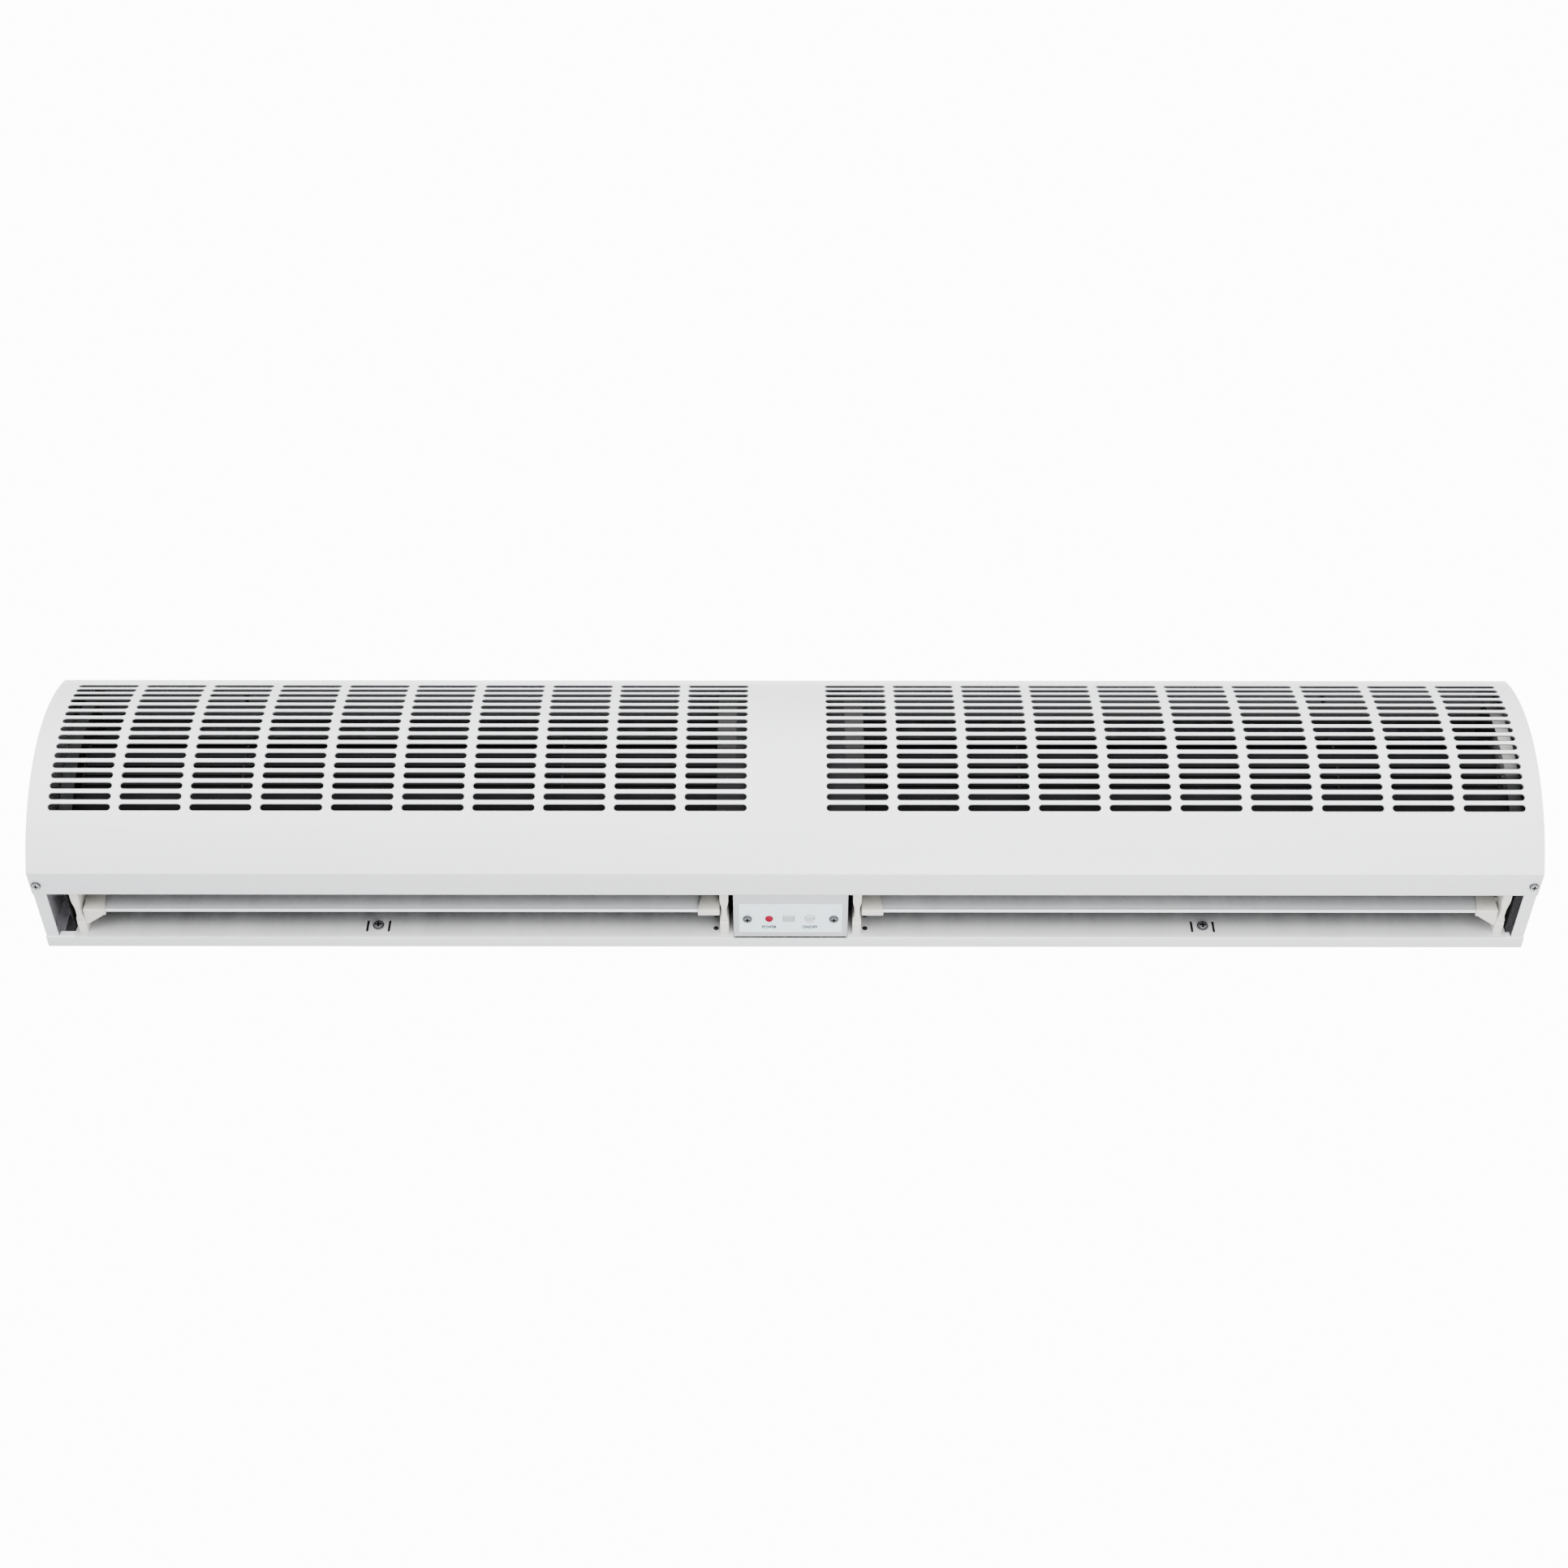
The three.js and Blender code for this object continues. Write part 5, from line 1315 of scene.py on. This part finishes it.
@dataclass(frozen=True)
class Casing:
    """Rear casing, motor cover, cable grommet and mounting rail in folded sheet."""

    half: float = 600.0
    lip: float = -18.5
    hem: float = 6.0
    back: float = -6.0
    top: float = 183.7
    reach: float = -126.666
    hook_x: float = 300.0
    hook_half: float = 15.0
    lock: Pair = (335.5, 11.0)
    rail_half: float = 530.0
    rail: Pair = (60.0, 170.0)
    rail_sheet: float = 1.5
    wall_holes: Pair = (150.0, 470.0)
    shelf: float = 140.0
    hook_slots: Pair = (129.7, 141.8)
    relief_x: float = 589.0
    notch_half: float = 46.3
    lock_bore: Pair = (2.3, 4.5)
    top_bore: Pair = (2.2, 4.0)
    cable_bore: Pair = (8.0, 11.0)
    wall_bore: Pair = (3.0, 7.0)
    wall_inset: float = 22.0
    hook_rise: float = 10.0
    window_rise: float = 16.0
    tab_half: float = 11.0
    screw_head: float = 3.8
    bow_centre: Pair = (-4.0, 116.0)
    cover_radius: float = 137.3

    @property
    def hooks(self) -> list[Pair]:
        """Where the two hooks start and end along x."""
        return [(s.value * self.hook_x - self.hook_half, s.value * self.hook_x + self.hook_half) for s in Side]

    def rear(self) -> None:
        """Back, top and rear lip in one sheet, notched for the control panel and slotted for the hooks."""
        corners = ((self.lip, self.hem), (self.lip, 0.0), (self.back, 0.0), (self.back, self.top),
                   (self.reach, self.top))
        rise = self.hem + self.back - self.lip
        head = rise + self.top
        low, high = section_box("cable_grommet")
        inlet = (low + high) / 2
        foot, lid = self.hook_slots
        hooks = ((a - 0.3, b + 0.3, rise + foot, rise + lid) for a, b in self.hooks)
        reliefs = ((*sorted((s.value * self.relief_x, s.value * (self.half + 1))), -1.0, self.hem - 1.0) for s in Side)
        notch = (SHIFT - self.notch_half, SHIFT + self.notch_half, -1.0, self.hem + 1.3)
        bores = [Bore(SHIFT + s.value * self.lock[0], rise + self.lock[1], *self.lock_bore) for s in Side]
        bores += [Bore(x, head + self.back - section_box(f"{n}_top_screw")[0][1] - self.screw_head, *self.top_bore)
                  for n, x in (("left", -450.0), ("middle", 0.0), ("right", 450.0))]
        bores.append(Bore(inlet[0], head + self.back - inlet[1], *self.cable_bore))
        sheet = Sheet(corners, (-self.half, self.half), 1.0, 1.6, tuple(bores), (*hooks, *reliefs, notch))
        mark(make("rear_casing_sheet", sheet.work(), WHITE, "rear_casing"), "inside", self.inside)

    def inside(self, places: Array) -> Array:
        """Mask of painted shade: 1 on the faces that look into the casing."""
        y, z = places[:, 1], places[:, 2]
        return (y < self.back - 0.5) & (z > self.hem + 2) & (z < self.top - 0.5)

    def grommet(self) -> None:
        """Grooved rubber ring in the cable inlet."""
        low, high = section_box("cable_grommet")
        x, y, z = (low + high) / 2
        rim, reach = (high[0] - low[0]) / 2, (high[2] - low[2]) / 2
        turn = np.radians(np.linspace(90, -90, 7))
        lip = (reach - 0.8) / 2
        upper, lower = (np.stack([rim - lip + lip * np.cos(turn), level + lip * np.sin(turn)], 1)
                        for level in (z + reach - lip, z - reach + lip))
        neck = rim - 3.0
        bore = [[4.3, z - reach + 0.4], [4.1, z - reach + 0.9], [4.1, z + reach - 0.9], [4.3, z + reach - 0.4]]
        profile = np.vstack([upper, [[neck, z + 0.8], [neck, z - 0.8]], lower, bore])
        make("cable_grommet_ring", spun(profile, (x, y), Axis.Z, 40, True), RUBBER, "cable_grommet")

    def wall_rail(self) -> None:
        """Folded rail with round wall holes, two hook windows, two hooks and two locking tabs."""
        front = self.back + 0.3
        foot, head = self.rail
        corners = ((front, foot), (0.0, foot), (0.0, head), (front, head))
        start = -front - foot
        holes = [Bore(s.value * x, start + z, *self.wall_bore) for s in Side for x in self.wall_holes
                 for z in (foot + self.wall_inset, head - self.wall_inset)]
        shelf = self.shelf + self.rail_sheet
        cuts = tuple((a, b, start + shelf, start + shelf + self.window_rise) for a, b in self.hooks)
        work = Sheet(corners, (-self.rail_half, self.rail_half), self.rail_sheet, 2.2, tuple(holes), cuts).work()
        tip, low = section_box("mounting_rail")[0][1:]
        root, lip = -self.rail_sheet / 2, tip + self.rail_sheet
        crest = shelf + self.hook_rise
        hook = np.array([[root, self.shelf], [root, shelf], [lip, shelf], [lip, crest], [tip, crest],
                         [tip, self.shelf]])
        for a, b in self.hooks:
            work.merge(drawn_out(hook, a, b, Axis.X, 0.3))
        for s in Side:
            work.merge(self.tab(SHIFT + s.value * self.lock[0], front, low, foot))
        make("mounting_rail_sheet", work, RAIL_ZINC, "mounting_rail")

    def tab(self, middle: float, front: float, low: float, foot: float) -> Patchwork:
        """Locking tab under the rail, bored for the lock screw."""
        corners = ((front, foot + self.rail_sheet), (front, low))
        bore = Bore(middle, foot + self.rail_sheet - self.lock[1], *self.lock_bore)
        return Sheet(corners, (middle - self.tab_half, middle + self.tab_half), self.rail_sheet, 0.0, (bore,)).work()

    def motor_cover(self) -> None:
        """Smooth bowed sheet behind the plain band of the grille: a slice of a ring about the bow's centre."""
        low, high = section_box("motor_cover")
        centre, radius = np.array(self.bow_centre), self.cover_radius
        turn = np.linspace(math.asin((high[2] - centre[1]) / radius), -math.asin((centre[1] - low[2]) / radius), 40)
        ray = np.stack([-np.cos(turn), np.sin(turn)], 1)
        outline = np.vstack([centre + radius * ray, (centre + (radius - 1.0) * ray)[::-1]])
        make("motor_cover_sheet", drawn_out(outline, low[0], high[0], Axis.X), COVER_ZINC, "motor_cover")

    def build(self) -> None:
        """Builds the sheets and the grommet."""
        self.rear()
        self.grommet()
        self.wall_rail()
        self.motor_cover()


# ---- studio
def stand(name: str, data: bpy.types.Camera | bpy.types.Light, place: Triple, aim: Triple) -> bpy.types.Object:
    """Puts a camera or a lamp in the scene, facing a point."""
    thing = bpy.data.objects.new(name, data)
    thing.location = place
    thing.rotation_euler = (Vector(aim) - Vector(place)).to_track_quat("-Z", "Y").to_euler()
    bpy.context.scene.collection.objects.link(thing)
    return thing


@dataclass(frozen=True)
class Studio:
    """Pale floor, even white surroundings, soft lights and the camera."""

    target: Triple = (-0.0009, -0.1445, -0.06595)
    distance: float = 1.88
    pitch: float = 45.7
    roll: float = 0.05
    lens: float = 54.67
    floor_height: float = -2.3
    floor_half: float = 9.0
    surroundings: float = 2.2
    overhead: Triple = (0.0, -0.6, 0.8)
    shaded: float = 1.0
    backdrop: Triple = (0.0, 0.688, 0.725)
    backdrop_glow: float = 14.0
    key: float = 600.0
    lift: float = 12.0
    floor_dark: Triple = (0.29, 0.29, 0.29)
    floor_pale: Triple = (0.33, 0.33, 0.33)

    def camera(self) -> None:
        """Camera below the front edge, looking up at the underside."""
        data = bpy.data.cameras.new("camera")
        data.sensor_width = 36.0
        data.lens = self.lens
        data.clip_end = 60.0
        angle = math.radians(self.pitch)
        place = Vector(self.target) + self.distance * Vector((0, -math.cos(angle), -math.sin(angle)))
        camera = stand("camera", data, place, self.target)
        camera.rotation_euler.rotate_axis("Z", math.radians(self.roll))
        bpy.context.scene.camera = camera

    def light(self, name: str, place: Triple, aim: Triple, size: float, power: float) -> None:
        """Adds one soft square lamp.

        Args:
            name: its name.
            place: where it is.
            aim: the point that it faces.
            size: its edge in metres.
            power: its power in watts.
        """
        data = bpy.data.lights.new(name, "AREA")
        data.size = size
        data.energy = power
        stand(name, data, place, aim)

    def build(self) -> None:
        """Makes the surroundings, the lights, the floor and the camera."""
        world = bpy.data.worlds.new("surroundings")
        bpy.context.scene.world = world
        nodes = Nodes(world)
        ahead = nodes.add("ShaderNodeTexCoord", output="Generated")
        facing, above = (nodes.add("ShaderNodeVectorMath", {"operation": "DOT_PRODUCT"}, {0: ahead, 1: way}, "Value")
                         for way in (self.backdrop, self.overhead))
        sky = nodes.ramp(above, 0.0, 0.9, self.surroundings, self.shaded)
        background = nodes.tree.nodes["Background"].inputs
        nodes.give(background["Strength"], nodes.ramp(facing, 0.80, 0.88, sky, self.backdrop_glow))
        nodes.give(background["Color"], (0.97, 0.98, 1.0, 1.0))
        self.light("key", (-0.3, -4.2, -0.3), (0, 0, 0), 5.0, self.key)
        self.light("lift", (0.3, -0.45, -1.1), (0.3, -0.05, 0), 0.4, self.lift)
        reach = self.floor_half
        ends = np.array([[-reach, -reach], [reach, -reach], [reach, reach], [-reach, reach]])
        mesh = bpy.data.meshes.new("floor")
        mesh.from_pydata(np.column_stack([ends, np.full(4, self.floor_height)]).tolist(), [], [[0, 1, 2, 3]])
        nodes = Nodes(bpy.data.materials.new("floor_paint"))
        shade = nodes.mix(nodes.noise(1.5, 3.0), self.floor_dark, self.floor_pale)
        mesh.materials.append(nodes.finish(Base_Color=shade, Roughness=0.85))
        floor = bpy.data.objects.new("floor", mesh)
        bpy.context.scene.collection.objects.link(floor)
        self.camera()


def dress_frame() -> None:
    """Gives every CAD node the finish of its material slot."""
    by_slot = {finish.slot: finish for finish in FINISHES}
    for part in frame["record"]["subparts"]:
        finish = OWN_FINISHES.get(part["node"], by_slot[part["material_slot"]])
        for place in frame["nodes"][part["node"]].material_slots:
            place.material = finish.material()
    log.info("%d CAD nodes dressed", len(frame["nodes"]))


def main() -> None:
    """Builds the studio and every piece."""
    logging.basicConfig(level=logging.INFO, format="%(name)s: %(message)s")
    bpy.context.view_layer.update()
    Studio().build()
    dress_frame()
    FrontCover().build()
    Casing().build()
    Controls().build()
    screws()
    for side in Side:
        Outlet(side).build()
        Wheel(side).build()


if __name__ == "__main__":
    main()
